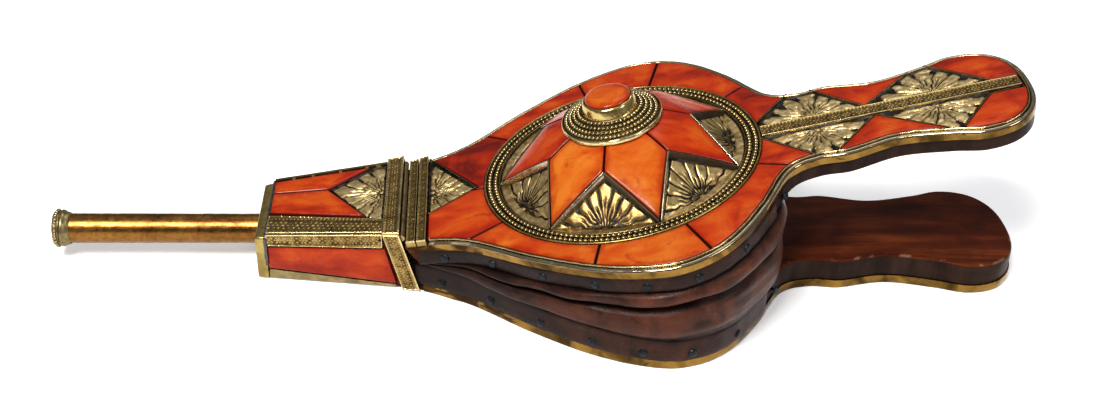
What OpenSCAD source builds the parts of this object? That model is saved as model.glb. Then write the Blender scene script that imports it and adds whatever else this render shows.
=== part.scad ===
// Fireside hand bellows: two shaped wooden boards, a leather gusset and a brass nozzle,
// with a bone and brass inlay on the nose and on the upper board. Millimetres.
// +X runs from the nozzle to the handles, +Y is across, +Z is up. The origin is on the
// underside, directly below the hinge line.

/* [Boards] */
// Length of each board, from the hinge line to the end of its handle
board_length = 310; // [304:1:320]
// Thickness of the lower board
lower_thick = 16; // [14:0.5:16.5]
// Thickness of the wood of the upper board
upper_thick = 10.8; // [9:0.1:10.8]
// Angle between the boards as the bellows lies open
open_angle = 13.6; // [11:0.1:15]
// Height of the hinge axis
hinge_z = 31.5; // [31.5:0.5:34]

/* [Inlay] */
// Thickness of the bone plates
bone = 2; // [1.5:0.1:2.5]
// Distance from the hinge line to the centre of the star
star_u = 109.5; // [108:0.5:111]
// Outer radius of the ring around the star
ring_r = 69; // [66:0.5:70]
// Radius at which the points of the star end
tip_r = 60; // [58:0.5:60]
// Radius of the notches between the points
notch_r = 37; // [35:0.5:39]
// Height of the star at its notches
notch_h = 18.5; // [16:0.5:20]
// Height of the star where it meets the boss
crown_h = 25; // [24:0.5:26]
// Outer radius of the boss
boss_r = 24.5; // [23:0.5:25]

/* [Nose and nozzle] */
// Length of the nose, in front of the hinge line
nose_length = 70; // [66:1:74]
// Height of the axis of the nozzle
nozzle_z = 14.5; // [13.5:0.5:15]
// Outer radius of the nozzle tube
nozzle_r = 7.4; // [7:0.1:7.6]
// Inner radius of the nozzle tube
nozzle_bore_r = 6.2; // [5.8:0.1:6.2]
// Distance from the hinge line to the tip of the nozzle
tip_x = 172.5; // [150:0.5:190]

/* [Air valve] */
// Radius of the intake hole in the lower board
intake_r = 13; // [10:0.5:14]
// Thickness of the leather of the valve flap
flap_thick = 2; // [1.5:0.5:2.5]

/* [Hidden] */
$fn = 64;
star_points = 7;

bone_color = "#d9541c";
brass_color = "#a88c42";
dark_brass_color = "#6e5a2c";
relief_color = "#c9b27c";
wood_color = "#4a2416";
leather_color = "#3d241b";
iron_color = "#56606a";

// Levels on the upper board, measured from the hinge axis, square to the board
face_w = -1.9;
wood_w = face_w - bone;
under_w = wood_w - upper_thick;
face_brass_w = face_w + 0.3;
// Edge trim of the upper board
rim_thick = 1;
trim_gap = 0.08;
rim_depth = 5.2;
flange_in = 2.6;
wire_in = 3.4;
// Edge trim of the lower board
strip_high = 4.4;
strip_thick = 0.8;
hem_thick = 1.4;
// Clearance between the wire at the hinge and what turns around it
wire_r = 1.6;
hinge_gap = 1.9;
// The two embossed bands on the front of the upper board
band_a_u = [hinge_gap, 6.4];
band_b_u = [7, 11.6];
inlay_u = 12;

// Half-width of the boards at distances from the hinge line
side_curve = [
    [0, 36.5], [16, 39.5], [32, 46], [62, 68.5], [93, 87], [122, 95.5], [140, 92.5], [156, 82],
    [172, 62], [187, 37.5], [201, 31.5], [216, 32.5], [240, 28], [264, 32.5], [280, 37]
];
curve_last = len(side_curve) - 1;
end_u = side_curve[curve_last][0];
end_half = side_curve[curve_last][1];
// The round end of the handle is a quarter of a superellipse
end_power = 2.4;
side_steps = 60;
end_steps = 9;
rim_steps = side_steps + end_steps;

// Smooth curve through the points of side_curve
function chord(i, j) = (side_curve[j][1] - side_curve[i][1]) / (side_curve[j][0] - side_curve[i][0]);
function tangent(i) = i == curve_last ? 0 : chord(max(i - 1, 0), i + 1);
function span_at(u) = max([for (i = [0 : curve_last - 1]) if (i == 0 || u >= side_curve[i][0]) i]);
function half_width(u) = let(
        i = span_at(u),
        a = side_curve[i],
        b = side_curve[i + 1],
        d = b[0] - a[0],
        t = (u - a[0]) / d
    )
    a[1] * (2 * t * t * t - 3 * t * t + 1) + tangent(i) * d * (t * t * t - 2 * t * t + t)
    + b[1] * (3 * t * t - 2 * t * t * t) + tangent(i + 1) * d * (t * t * t - t * t);

// One side of the boards' outline, from u0 to the tip of the handle
function side_point(i, u0) = i <= side_steps
    ? let(u = u0 + (end_u - u0) * i / side_steps) [u, half_width(u)]
    : let(a = 90 * (i - side_steps) / end_steps)
      [end_u + (board_length - end_u) * pow(sin(a), 2 / end_power),
       end_half * pow(max(cos(a), 0), 2 / end_power)];
function mirrored(p) = [p[0], -p[1]];
function reversed(list) = [for (i = [len(list) - 1 : -1 : 0]) list[i]];
// The same point moved inwards by d, square to the outline
function inset_point(i, u0, d) = let(
        p = side_point(i, u0),
        before = side_point(max(i - 1, 0), u0),
        after = i == rim_steps ? mirrored(side_point(i - 1, u0)) : side_point(i + 1, u0),
        run = after - before,
        out = [-run[1], run[0]] / norm(run)
    )
    i == 0 ? [p[0], p[1] - d / out[1]] : p - out * d;
function half_outline(u0, d, first = 0, last = rim_steps) =
    [for (i = [first : last]) inset_point(i, u0, d)];
// The whole outline, closed across the front at u0
function outline(u0, d) = let(side = half_outline(u0, d))
    concat(side, [for (p = reversed(side)) if (p[1] > 0.01) mirrored(p)]);
// A strip along the outline between two insets, open at the front
function outline_strip(u0, d_out, d_in) = concat(outline(u0, d_out), reversed(outline(u0, d_in)));

// The lower board is a little narrower, most of all at the hinge
function lower_in(x) = 1.2 + 4.6 * max(0, 1 - x / 24);
function lower_point(i, d) = inset_point(i, 0, d + lower_in(side_point(i, 0)[0]));
function lower_half(d, first = 0, last = rim_steps) = [for (i = [first : last]) lower_point(i, d)];
function lower_outline(d, first = 0) = let(side = lower_half(d, first))
    concat(side, [for (p = reversed(side)) if (p[1] > 0.01) mirrored(p)]);

// Moves what is drawn on the upper board to where the board lies
module on_upper() {
    translate([0, 0, hinge_z])
        rotate([0, -open_angle, 0])
            children();
}
// A flat plate between two levels
module plate(points, low, high) {
    translate([0, 0, low])
        linear_extrude(high - low)
            polygon(points);
}
// A solid between two loops of points that have the same count, the lower one first
module slab(low, high) {
    n = len(low);
    polyhedron(
        points = concat(low, high),
        faces = concat(
            [[for (i = [0 : n - 1]) i]],
            [[for (i = [n - 1 : -1 : 0]) n + i]],
            [for (i = [0 : n - 1]) [i, n + i, n + (i + 1) % n, (i + 1) % n]]
        ),
        convexity = 4
    );
}

// The nose is a tapered block with flat sides, wider and higher at the hinge
nose_top_front = 24;
nose_top_rear = 31;
nose_half_front = 23;
nose_half_rear = 32.6;
nose_lean = 0.09;
nose_rear_x = -1;
tongue_x = -30;
tongue_z = 6;
top_inlay = 3.2;
side_inlay = 1.6;
flange_x = 1 - nose_length + 3;
collar_x = [-9.2, -wire_r];
collar_top = 4.4;
plate_thick = 1.2;
nose_rise = (nose_top_rear - nose_top_front) / nose_length;
nose_spread = (nose_half_rear - nose_half_front) / nose_length - nose_lean * nose_rise;
function nose_z(x) = nose_top_rear + nose_rise * x;
function nose_y(x, z) = nose_half_rear + nose_spread * x - nose_lean * (nose_top_rear - z);
// A section of the nose at x between two heights, grown outwards by `out`
function nose_section(x, z0, z1, out = 0) = let(a = nose_y(x, z0) + out, b = nose_y(x, z1) + out)
    [[x, -a, z0], [x, a, z0], [x, b, z1], [x, -b, z1]];
// Points above the top of the nose, and beside one of its sides
function over_nose(points, out) = [for (p = points) [p[0], p[1], nose_z(p[0]) + out]];
function beside_nose(points, side, out) =
    [for (p = points) [p[0], side * (nose_y(p[0], p[1]) + out), p[1]]];

module nose_part(x0, x1, z0, out = 0) {
    slab(
        nose_section(x0, z0, nose_z(x0) + out, out),
        nose_section(x1, z0, nose_z(x1) + out, out)
    );
}
module on_nose_top(points, low, high) {
    slab(over_nose(points, low), over_nose(points, high));
}
// The points run anticlockwise as seen from -Y
module on_nose_side(points, side, low, high) {
    inner = beside_nose(points, side, low);
    outer = beside_nose(points, side, high);
    if (side < 0) slab(inner, outer);
    else slab(reversed(inner), reversed(outer));
}
// A solid along Y with the given profile in X and Z
module across(profile, half) {
    translate([0, half, 0])
        rotate([90, 0, 0])
            linear_extrude(2 * half)
                polygon(profile);
}

/* Boards */
module lower_board() {
    color(wood_color)
        difference() {
            union() {
                plate(lower_outline(hem_thick), 0, lower_thick);
                slab(nose_section(tongue_x, 0, tongue_z), nose_section(0.5, 0, tongue_z));
            }
            translate([star_u, 0, -1])
                cylinder(r = intake_r, h = lower_thick + 2);
        }
}
// The front of the upper board is bevelled, so that it clears the nose as the bellows shuts
bevel = 4.7;
recess = 0.8;
strap_u = 11;
module top_board() {
    color(wood_color)
        on_upper()
            difference() {
                plate(outline(0.8, rim_thick), under_w, wood_w);
                rotate([90, 0, 0])
                    translate([0, 0, -60])
                        linear_extrude(120)
                            polygon([
                                [0, wood_w], [0.8, wood_w], [0.8 + bevel, under_w - 0.01],
                                [0.8 + bevel, under_w - 5], [0, under_w - 5]
                            ]);
                translate([0, -30, wood_w - recess])
                    cube([strap_u, 60, 2]);
            }
}

/* Nose */
channel_r = 4.5;
channel_z = 21;
socket_x = -34;
module nose_block() {
    rise = channel_z - nozzle_z;
    color(wood_color)
        difference() {
            union() {
                nose_part(-nose_length, tongue_x, 0);
                nose_part(tongue_x, nose_rear_x, tongue_z);
            }
            translate([-nose_length - 1, 0, nozzle_z])
                rotate([0, 90, 0])
                    cylinder(r = nozzle_r, h = nose_length + socket_x + 1);
            translate([socket_x - 1, 0, nozzle_z])
                rotate([0, atan2(-socket_x, rise), 0])
                    cylinder(r = channel_r, h = 50);
            translate([-3.4, -30.5, 28])
                cube([5, 61, 6]);
            hinge_rod(wire_r + 0.05);
            across(strap_profile(), 30);
        }
}
function on_board(u, w) = [
    u * cos(open_angle) - w * sin(open_angle), hinge_z + u * sin(open_angle) + w * cos(open_angle)
];
function strap_profile() = [
    [-strap_u, nose_z(-strap_u) - recess], [-3.4, nose_z(-3.4) - recess], [-1.6, 28.6],
    on_board(2, wood_w - recess), on_board(strap_u, wood_w - recess), on_board(strap_u, wood_w),
    on_board(1.8, wood_w), [-1.2, 29.5], [-3, nose_z(-3)], [-strap_u, nose_z(-strap_u)]
];
module hinge_leather() {
    color(leather_color)
        across(strap_profile(), 30);
}
module hinge_rod(r) {
    translate([0, 0, hinge_z])
        rotate([90, 0, 0])
            cylinder(r = r, h = 68, center = true);
}
module hinge_wire() {
    color(brass_color)
        hinge_rod(wire_r);
}
module nozzle_tube() {
    color(brass_color)
        translate([-tip_x, 0, nozzle_z])
            rotate([0, 90, 0])
                difference() {
                    cylinder(r = nozzle_r, h = tip_x + socket_x);
                    translate([0, 0, -1])
                        cylinder(r = nozzle_bore_r, h = tip_x);
                }
}
module nozzle_rim() {
    color(dark_brass_color)
        translate([-tip_x, 0, nozzle_z])
            rotate([0, 90, 0])
                rotate_extrude()
                    polygon([
                        [nozzle_r, 0], [8.6, 0], [9.4, 0.8], [9.4, 2.2], [9, 3], [9.2, 5], [8.4, 7.6],
                        [nozzle_r, 8]
                    ]);
}
// A brass cap on the end of the nose, with a flange that turns back over its sides
module nose_front_plate() {
    color(brass_color)
        difference() {
            nose_part(-nose_length - plate_thick, flange_x, 0, 1.4);
            nose_part(-nose_length, 0, -1);
            translate([-nose_length - 5, 0, nozzle_z])
                rotate([0, 90, 0])
                    cylinder(r = nozzle_r, h = 10);
        }
}
// Layout of the top of the nose
split_y = 12;
apex_x = -38;
strip_front_y = [-8.6, -23.6];
strip_rear_y = [-19.6, -31.4];
inlay_rear = collar_x[0];
inlay_front = flange_x;
seam = 0.25;
module nose_bone_top_far() {
    color(bone_color)
        on_nose_top([
            [inlay_front, split_y + seam], [apex_x, split_y + seam], [-17.5, 29.8], [inlay_front, 23]
        ], 0, top_inlay);
}
module nose_bone_top_near() {
    color(bone_color)
        on_nose_top([
            [inlay_front, strip_front_y[0] + 3.4], [-18, strip_rear_y[0] + 4.6],
            [apex_x, split_y - seam], [inlay_front, split_y - seam]
        ], 0, top_inlay);
}
module nose_panel() {
    color(relief_color)
        on_nose_top([
            [apex_x + 1, split_y], [-17.6, strip_rear_y[0] + 4], [inlay_rear, strip_rear_y[0] + 1],
            [inlay_rear, 31], [-17, 29.8]
        ], 0, top_inlay - 1.4);
}
// The strip on the top edge lies on the near side only, the ones beside it on both sides
module nose_ridge_strips() {
    color(brass_color) {
        on_nose_top([
            [inlay_front, strip_front_y[1]], [inlay_rear, strip_rear_y[1]],
            [inlay_rear, strip_rear_y[0]], [inlay_front, strip_front_y[0]]
        ], 0, top_inlay);
        for (side = [-1, 1])
            on_nose_side([
                [inlay_front, 21], [inlay_rear, 25], [inlay_rear, nose_z(inlay_rear) + top_inlay],
                [inlay_front, nose_z(inlay_front) + top_inlay]
            ], side, 0, side_inlay);
    }
}
module nose_bone_side(side) {
    color(bone_color)
        on_nose_side([
            [inlay_front, 6.5], [-2.6, 2.6], [-8, 24.4], [inlay_front, 20.4]
        ], side, 0, side_inlay);
}
module nose_bone_side_near() { nose_bone_side(-1); }
module nose_bone_side_far() { nose_bone_side(1); }
// An embossed band across the nose that slants back down both of its sides
module nose_collar_band() {
    top = collar_top;
    low = side_inlay;
    color(brass_color) {
        on_nose_top([
            [collar_x[0] + 0.1, -33.2], [collar_x[1], -34], [collar_x[1], 34], [collar_x[0] + 0.1, 33.2]
        ], top_inlay, top);
        on_nose_top([
            [collar_x[0] + 0.1, -31], [-3.5, -31.5], [-3.5, 31.5], [collar_x[0] + 0.1, 31]
        ], 0, top_inlay);
        for (side = [-1, 1])
            on_nose_side([
                [-0.2, 0.5], [7.8, 0.5], [collar_x[1], nose_z(-2) + top_inlay],
                [collar_x[0], nose_z(-9) + top_inlay]
            ], side, low, low + 1);
    }
}

/* Edge of the lower board */
strip_first = 2;
module lower_rim_strip() {
    outer = lower_outline(hem_thick - strip_thick, strip_first);
    inner = lower_outline(hem_thick, strip_first);
    color(brass_color)
        plate(concat(outer, reversed(inner)), 0, strip_high);
}
hem_first = 2;
hem_last = 39;
module leather_lower_hem() {
    color(leather_color)
        for (side = [0, 1])
            mirror([0, side, 0])
                plate(
                    concat(lower_half(0, hem_first, hem_last),
                        reversed(lower_half(hem_thick, hem_first, hem_last))),
                    strip_high, lower_thick
                );
}

/* Gusset: a closed leather wall between the boards, hollow inside */
gusset_first = 1;
gusset_back = 193;
gusset_in = 3.2;
gusset_nose_in = 6.2;
gusset_wall = 2;
clear = 0.3;
function gusset_point(i, d) = inset_point(i, 0,
    d + max(gusset_in, gusset_nose_in - side_point(i, 0)[0] / 8));
function gusset_outline(d, back) = let(
        front = gusset_point(gusset_first, d),
        side = [for (i = [gusset_first + 1 : hem_last + 1]) gusset_point(i, d)],
        half = concat([[front[0] + d, front[1]]], side, [[back, half_width(back) - gusset_in - d]])
    )
    concat(half, [for (p = reversed(half)) mirrored(p)]);
module leather_gusset() {
    color(leather_color)
        difference() {
            plate(gusset_outline(0, gusset_back), lower_thick + clear, 80);
            plate(gusset_outline(gusset_wall, gusset_back - gusset_wall), 0, 90);
            on_upper()
                translate([-60, -150, under_w - clear])
                    cube([450, 300, 150]);
        }
}

/* Tacks with round heads */
module tack() {
    rotate_extrude($fn = 24)
        polygon([[0, -6], [0.7, -5], [0.7, 0], [2.2, 0], [1.9, 0.6], [1.1, 1], [0, 1.1]]);
}
module side_tack(p, q, z) {
    run = q - p;
    translate([p[0], p[1], z])
        rotate([0, 90, atan2(run[0], -run[1])])
            tack();
}
upper_tack_w = under_w + 3.2;
tack_steps = [4 : 5 : 39];
module upper_tacks() {
    color(iron_color)
        on_upper()
            for (side = [0, 1])
                mirror([0, side, 0])
                    for (i = tack_steps)
                        side_tack(inset_point(i, 0, upper_hem_out), inset_point(i + 1, 0, upper_hem_out),
                            upper_tack_w);
}
strap_x = [76, 88.4];
strap_half = 14;
module lower_tacks() {
    color(iron_color) {
        for (side = [0, 1])
            mirror([0, side, 0])
                for (i = tack_steps)
                    side_tack(lower_point(i, 0), lower_point(i + 1, 0), 8.4);
        for (y = [-9, 0, 9])
            translate([strap_x[0] + 5, y, lower_thick + flap_thick])
                tack();
    }
}

/* Intake valve inside the chamber */
flap_end = star_u + intake_r + 4.5;
flap_gap = 0.1;
flap_x = strap_x[1] + 1.2;
module valve_strap() {
    color(leather_color)
        translate([strap_x[0], -strap_half, lower_thick])
            cube([strap_x[1] - strap_x[0], 2 * strap_half, flap_thick]);
}
module valve_flap() {
    length = flap_end - flap_x;
    half = intake_r + 4;
    color(leather_color)
        translate([flap_x, 0, lower_thick + flap_gap])
            linear_extrude(flap_thick)
                polygon([
                    [0, -half + 3], [length - 5, -half], [length, -half + 5],
                    [length, half - 5], [length - 5, half], [0, half - 3]
                ]);
}

/* Edge of the upper board */
upper_hem_out = -0.3;
module top_rim_band() {
    color(brass_color)
        on_upper() {
            plate(outline_strip(2, 0, rim_thick - trim_gap), face_w - rim_depth, wood_w);
            plate(outline_strip(inlay_u, 0, flange_in), wood_w, face_w);
        }
}
module top_fillet_wire() {
    color(brass_color)
        on_upper()
            plate(outline_strip(inlay_u, flange_in, wire_in), wood_w, face_w + 0.5);
}
module leather_upper_hem() {
    color(leather_color)
        on_upper()
            for (side = [0, 1])
                mirror([0, side, 0])
                    plate(
                        concat(half_outline(0, upper_hem_out, hem_first, hem_last),
                            reversed(half_outline(0, rim_thick - trim_gap, hem_first, hem_last))),
                        under_w, face_w - rim_depth
                    );
}

/* Front of the upper board */
module front_band(span) {
    u0 = span[0];
    u1 = span[1];
    color(brass_color)
        on_upper()
            plate([
                [u0, -half_width(u0)], [u1, -half_width(u1)], [u1, half_width(u1)], [u0, half_width(u0)]
            ], wood_w, face_w + 1.3);
}
module front_band_a() { front_band(band_a_u); }
module front_band_b() { front_band(band_b_u); }
panel_near = -14;
panel_apex = [37.5, 2];
front_cut = [[inlay_u - 1, panel_near - 0.6], panel_apex, [inlay_u - 1, 40]];
module front_panel() {
    color(relief_color)
        on_upper()
            intersection() {
                plate([
                    [inlay_u, panel_near + 1], [panel_apex[0] - 1.8, panel_apex[1]], [inlay_u, 36]
                ], wood_w, wood_w + 1);
                plate(outline(inlay_u, wire_in + seam), -10, 10);
            }
}

/* Bone plates around the star */
function around_star(angle, r) = [star_u + r * cos(angle), r * sin(angle)];
// Seams between the plates, as angles about the centre of the star
near_seams = [-180, -151, -103, -69, -23];
far_seams = [180, 144, 101, 73, 35];
near_tail = [[240, -45], [201, -45], [200.5, -29], [178, -5.5]];
far_tail = [[240, 45], [197, 45], [196.5, 31], [178, 9.5]];
module inlay_plate(points) {
    color(bone_color)
        on_upper()
            difference() {
                intersection() {
                    plate(outline(inlay_u + seam, wire_in), wood_w, face_w);
                    plate(points, -10, 10);
                }
                translate([star_u, 0, -10])
                    cylinder(r = ring_r, h = 20);
                plate(front_cut, -12, 12);
            }
}
module border_bone(from, to) {
    turn = sign(to - from) * seam;
    inlay_plate([around_star(0, 0), around_star(from + turn, 180), around_star(to - turn, 180)]);
}
module tail_bone(seam_angle, tail) {
    turn = sign(tail[0][1]) * seam;
    inlay_plate([
        around_star(seam_angle - turn, 60), around_star(seam_angle - turn, 120), tail[1], tail[2], tail[3]
    ]);
}
module border_bone_near_1() { border_bone(near_seams[0], near_seams[1]); }
module border_bone_near_2() { border_bone(near_seams[1], near_seams[2]); }
module border_bone_near_3() { border_bone(near_seams[2], near_seams[3]); }
module border_bone_near_4() { border_bone(near_seams[3], near_seams[4]); }
module border_bone_near_5() { tail_bone(near_seams[4], near_tail); }
module border_bone_far_1() { border_bone(far_seams[0], far_seams[1]); }
module border_bone_far_2() { border_bone(far_seams[1], far_seams[2]); }
module border_bone_far_3() { border_bone(far_seams[2], far_seams[3]); }
module border_bone_far_4() { border_bone(far_seams[3], far_seams[4]); }
module border_bone_far_5() { tail_bone(far_seams[4], far_tail); }

/* Inlay of the handle */
near_wedge = [[210.5, -30.5], [234, -4.8], [263, -28]];
far_wedge = [[208.5, 30.5], [231, 5.2], [257.5, 28.5]];
near_end = [[271, -30], [289.5, -6.5], [330, -5.5]];
far_end = [[266.5, 31.5], [293, 5.5], [330, 5.5]];
module handle_bone(wedge) {
    edge = wedge[0][1] < 0 ? -50 : 50;
    inlay_plate(concat([[wedge[0][0], edge]], wedge, [[wedge[2][0], edge]]));
}
module handle_bone_near_1() { handle_bone(near_wedge); }
module handle_bone_near_2() { handle_bone(near_end); }
module handle_bone_far_1() { handle_bone(far_wedge); }
module handle_bone_far_2() { handle_bone(far_end); }
strip_half = 4.4;
strip_u = [star_u + ring_r + 0.2, 305];
module handle_strip() {
    color(brass_color)
        on_upper()
            plate([
                [strip_u[0], -strip_half], [strip_u[1], -strip_half],
                [strip_u[1], strip_half], [strip_u[0], strip_half]
            ], wood_w, face_brass_w);
}
// Embossed sheet in the two diamonds, below the level of the bone
module handle_sheet() {
    color(relief_color)
        on_upper()
            difference() {
                intersection() {
                    plate(outline(inlay_u, wire_in + seam), wood_w, wood_w + 1);
                    union() {
                        plate([
                            [180, -6], [201, -28.5], [201, -40], [210, -40], [210, -30.4], [233.3, -4.8],
                            [230.5, 5.2], [208, 30.4], [208, 40], [197, 40], [197, 30.6], [180, 10]
                        ], -10, 10);
                        plate([
                            [234.6, -4.8], [263.6, -27.8], [263.6, -40], [270.5, -40], [270.5, -30],
                            [288.7, -6.5], [292.4, 5.5], [266, 31.4], [266, 40], [258, 40], [258, 28.6],
                            [231.8, 5.2]
                        ], -10, 10);
                    }
                }
                translate([star_u, 0, -10])
                    cylinder(r = ring_r, h = 20);
                translate([strip_u[0] - 5, -strip_half, -10])
                    cube([200, 2 * strip_half, 20]);
            }
}

/* Ring around the star */
rope_r = 1.55;
rope_radii = [66.4, 63.3];
module ring_ropes() {
    color(dark_brass_color)
        on_upper()
            for (r = rope_radii)
                translate([star_u, 0, wood_w + rope_r])
                    rotate_extrude()
                        translate([r, 0])
                            circle(r = rope_r, $fn = 24);
}
module ring_wire() {
    color(brass_color)
        on_upper()
            translate([star_u, 0, wood_w])
                difference() {
                    cylinder(r = ring_r, h = bone + 0.5);
                    translate([0, 0, -1])
                        cylinder(r = ring_r - 1, h = bone + 3);
                }
}

/* Star: a seven-sided wooden core, bone points on it and embossed sheets between them */
step_angle = 360 / star_points;
core_drop = 4.5;
crown_r = 22;
crown_drop = 3.5;
crown_w = face_w + crown_h - crown_drop;
notch_w = face_w + notch_h - core_drop;
tip_rise = 1.2;
function star_at(angle, r, w) = [star_u + r * cos(angle), r * sin(angle), w];
function tip_angle(i) = 180 + i * step_angle;
function notch_angle(i) = tip_angle(i) + step_angle / 2;
module star_core() {
    n = star_points;
    color(wood_color) {
        turned([
            [0, crown_w - 0.5], [plug_r, crown_w - 0.5], [plug_r, boss_low + 0.1],
            [cone_r[0] - boss_wall, boss_low + 0.1], [cone_r[0] - boss_wall, boss_low + 0.6],
            [collar_r[0] - boss_wall, collar_low - 1], [collar_r[1] - boss_wall, boss_top - 1],
            [0, boss_top - 1]
        ]);
        on_upper()
            polyhedron(
                points = concat(
                    [for (i = [0 : n - 1]) star_at(tip_angle(i), tip_r, wood_w)],
                    [for (i = [0 : n - 1]) star_at(notch_angle(i), notch_r, notch_w)],
                    [for (i = [0 : n - 1]) star_at(notch_angle(i), crown_r, crown_w)]
                ),
                faces = concat(
                    [[for (i = [0 : n - 1]) i]],
                    [[for (i = [n - 1 : -1 : 0]) 2 * n + i]],
                    [for (i = [0 : n - 1]) [i, n + i, (i + 1) % n]],
                    [for (i = [0 : n - 1]) [(i + 1) % n, n + i, n + (i + 1) % n]],
                    [for (i = [0 : n - 1]) [n + i, 2 * n + i, 2 * n + (i + 1) % n, n + (i + 1) % n]]
                ),
                convexity = 4
            );
    }
}
// One point of the star: it widens from the boss to its notches, then narrows to its tip
module star_bone(i) {
    a0 = notch_angle(i - 2) + 0.4;
    a1 = notch_angle(i - 1) - 0.4;
    top_w = [face_w + crown_h, face_w + notch_h, face_w + tip_rise];
    low_w = [crown_w, notch_w, wood_w];
    loop = [[a0, crown_r, 0], [a1, crown_r, 0], [a1, notch_r, 1], [tip_angle(i - 1), tip_r, 2], [a0, notch_r, 1]];
    points = concat(
        [for (p = loop) star_at(p[0], p[1], low_w[p[2]])],
        [for (p = loop) star_at(p[0], p[1], top_w[p[2]])]
    );
    color(bone_color)
        on_upper()
            polyhedron(
                points = points,
                faces = concat(
                    [[4, 3, 2], [4, 2, 1, 0], [7, 8, 9], [5, 6, 7, 9]],
                    [for (k = [0 : 4]) [k, (k + 1) % 5, 5 + (k + 1) % 5, 5 + k]]
                ),
                convexity = 2
            );
}
module star_bone_1() { star_bone(1); }
module star_bone_2() { star_bone(2); }
module star_bone_3() { star_bone(3); }
module star_bone_4() { star_bone(4); }
module star_bone_5() { star_bone(5); }
module star_bone_6() { star_bone(6); }
module star_bone_7() { star_bone(7); }
sheet = 0.8;
module star_sheets() {
    margin = 1.6;
    color(relief_color)
        on_upper() {
            for (i = [0 : star_points - 1]) {
                corners = [
                    star_at(notch_angle(i), notch_r + margin, notch_w - margin * 0.62),
                    star_at(tip_angle(i) + 1.2, tip_r * 0.995, wood_w + 0.3),
                    star_at(tip_angle(i + 1) - 1.2, tip_r * 0.995, wood_w + 0.3)
                ];
                slab(corners, [for (p = corners) p + [0, 0, sheet]]);
            }
            translate([0, 0, wood_w])
                linear_extrude(sheet)
                    difference() {
                        translate([star_u, 0])
                            circle(r = rope_radii[1] - rope_r - 0.1);
                        polygon([for (i = [0 : star_points - 1]) around_star(tip_angle(i), tip_r + 0.8)]);
                    }
        }
}

/* Boss in the middle of the star, with a bone cabochon */
boss_low = face_w + crown_h;
boss_top = boss_low + 9.8;
cone_r = [23.4, 13.9];
collar_low = boss_low + 5.5;
collar_r = [13.5, 12.2];
plug_r = 19;
boss_wall = 1.3;
module turned(profile) {
    on_upper()
        translate([star_u, 0, 0])
            rotate_extrude()
                polygon(profile);
}
module boss_cone() {
    color(brass_color)
        turned([
            [cone_r[0] - boss_wall, boss_low + 0.1], [cone_r[0], boss_low + 0.1],
            [cone_r[0], boss_low + 0.6], [cone_r[1], collar_low], [collar_r[0], collar_low],
            [collar_r[1], boss_top], [0, boss_top], [0, boss_top - 1],
            [collar_r[1] - boss_wall, boss_top - 1], [collar_r[0] - boss_wall, collar_low - 1],
            [cone_r[0] - boss_wall, boss_low + 0.6]
        ]);
}
module boss_rim() {
    color(brass_color)
        on_upper()
            translate([star_u, 0, boss_low + 0.3])
                rotate_extrude()
                    translate([boss_r - 0.2, 0])
                        circle(r = 0.85, $fn = 24);
}
bead_r = 0.95;
bead_radii = [21.9, 19.7, 17.5, 15.3];
module boss_beads() {
    run = cone_r[0] - cone_r[1];
    rise = collar_low - boss_low - 0.6;
    out = [rise, run] / norm([rise, run]) * (bead_r + 0.02);
    color(brass_color)
        on_upper()
            for (r = bead_radii)
                translate([star_u, 0, boss_low + 0.6 + (cone_r[0] - r) * rise / run + out[1]])
                    rotate_extrude()
                        translate([r + out[0], 0])
                            circle(r = bead_r, $fn = 24);
}
module cabochon() {
    color(bone_color)
        turned([
            [0, boss_top], [10.6, boss_top], [11.2, boss_top + 0.9], [10.4, boss_top + 2.2],
            [7.6, boss_top + 3.3], [0, boss_top + 3.8]
        ]);
}

lower_board();
nose_block();
nozzle_tube();
nozzle_rim();
nose_front_plate();
nose_bone_top_near();
nose_bone_top_far();
nose_bone_side_near();
nose_bone_side_far();
nose_panel();
nose_ridge_strips();
nose_collar_band();
hinge_wire();
hinge_leather();
lower_rim_strip();
leather_lower_hem();
lower_tacks();
leather_gusset();
valve_strap();
valve_flap();
top_board();
top_rim_band();
top_fillet_wire();
front_band_a();
front_band_b();
front_panel();
border_bone_near_1();
border_bone_near_2();
border_bone_near_3();
border_bone_near_4();
border_bone_near_5();
border_bone_far_1();
border_bone_far_2();
border_bone_far_3();
border_bone_far_4();
border_bone_far_5();
handle_bone_near_1();
handle_bone_near_2();
handle_bone_far_1();
handle_bone_far_2();
handle_sheet();
handle_strip();
ring_ropes();
ring_wire();
star_core();
star_sheets();
star_bone_1();
star_bone_2();
star_bone_3();
star_bone_4();
star_bone_5();
star_bone_6();
star_bone_7();
boss_rim();
boss_beads();
boss_cone();
cabochon();
leather_upper_hem();
upper_tacks();
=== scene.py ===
"""Fireside hand bellows: bone and brass inlay on two wooden boards, with a leather gusset."""
import math

import bpy
import numpy as np
from mathutils import Matrix, Vector
from mathutils.geometry import delaunay_2d_cdt


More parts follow.
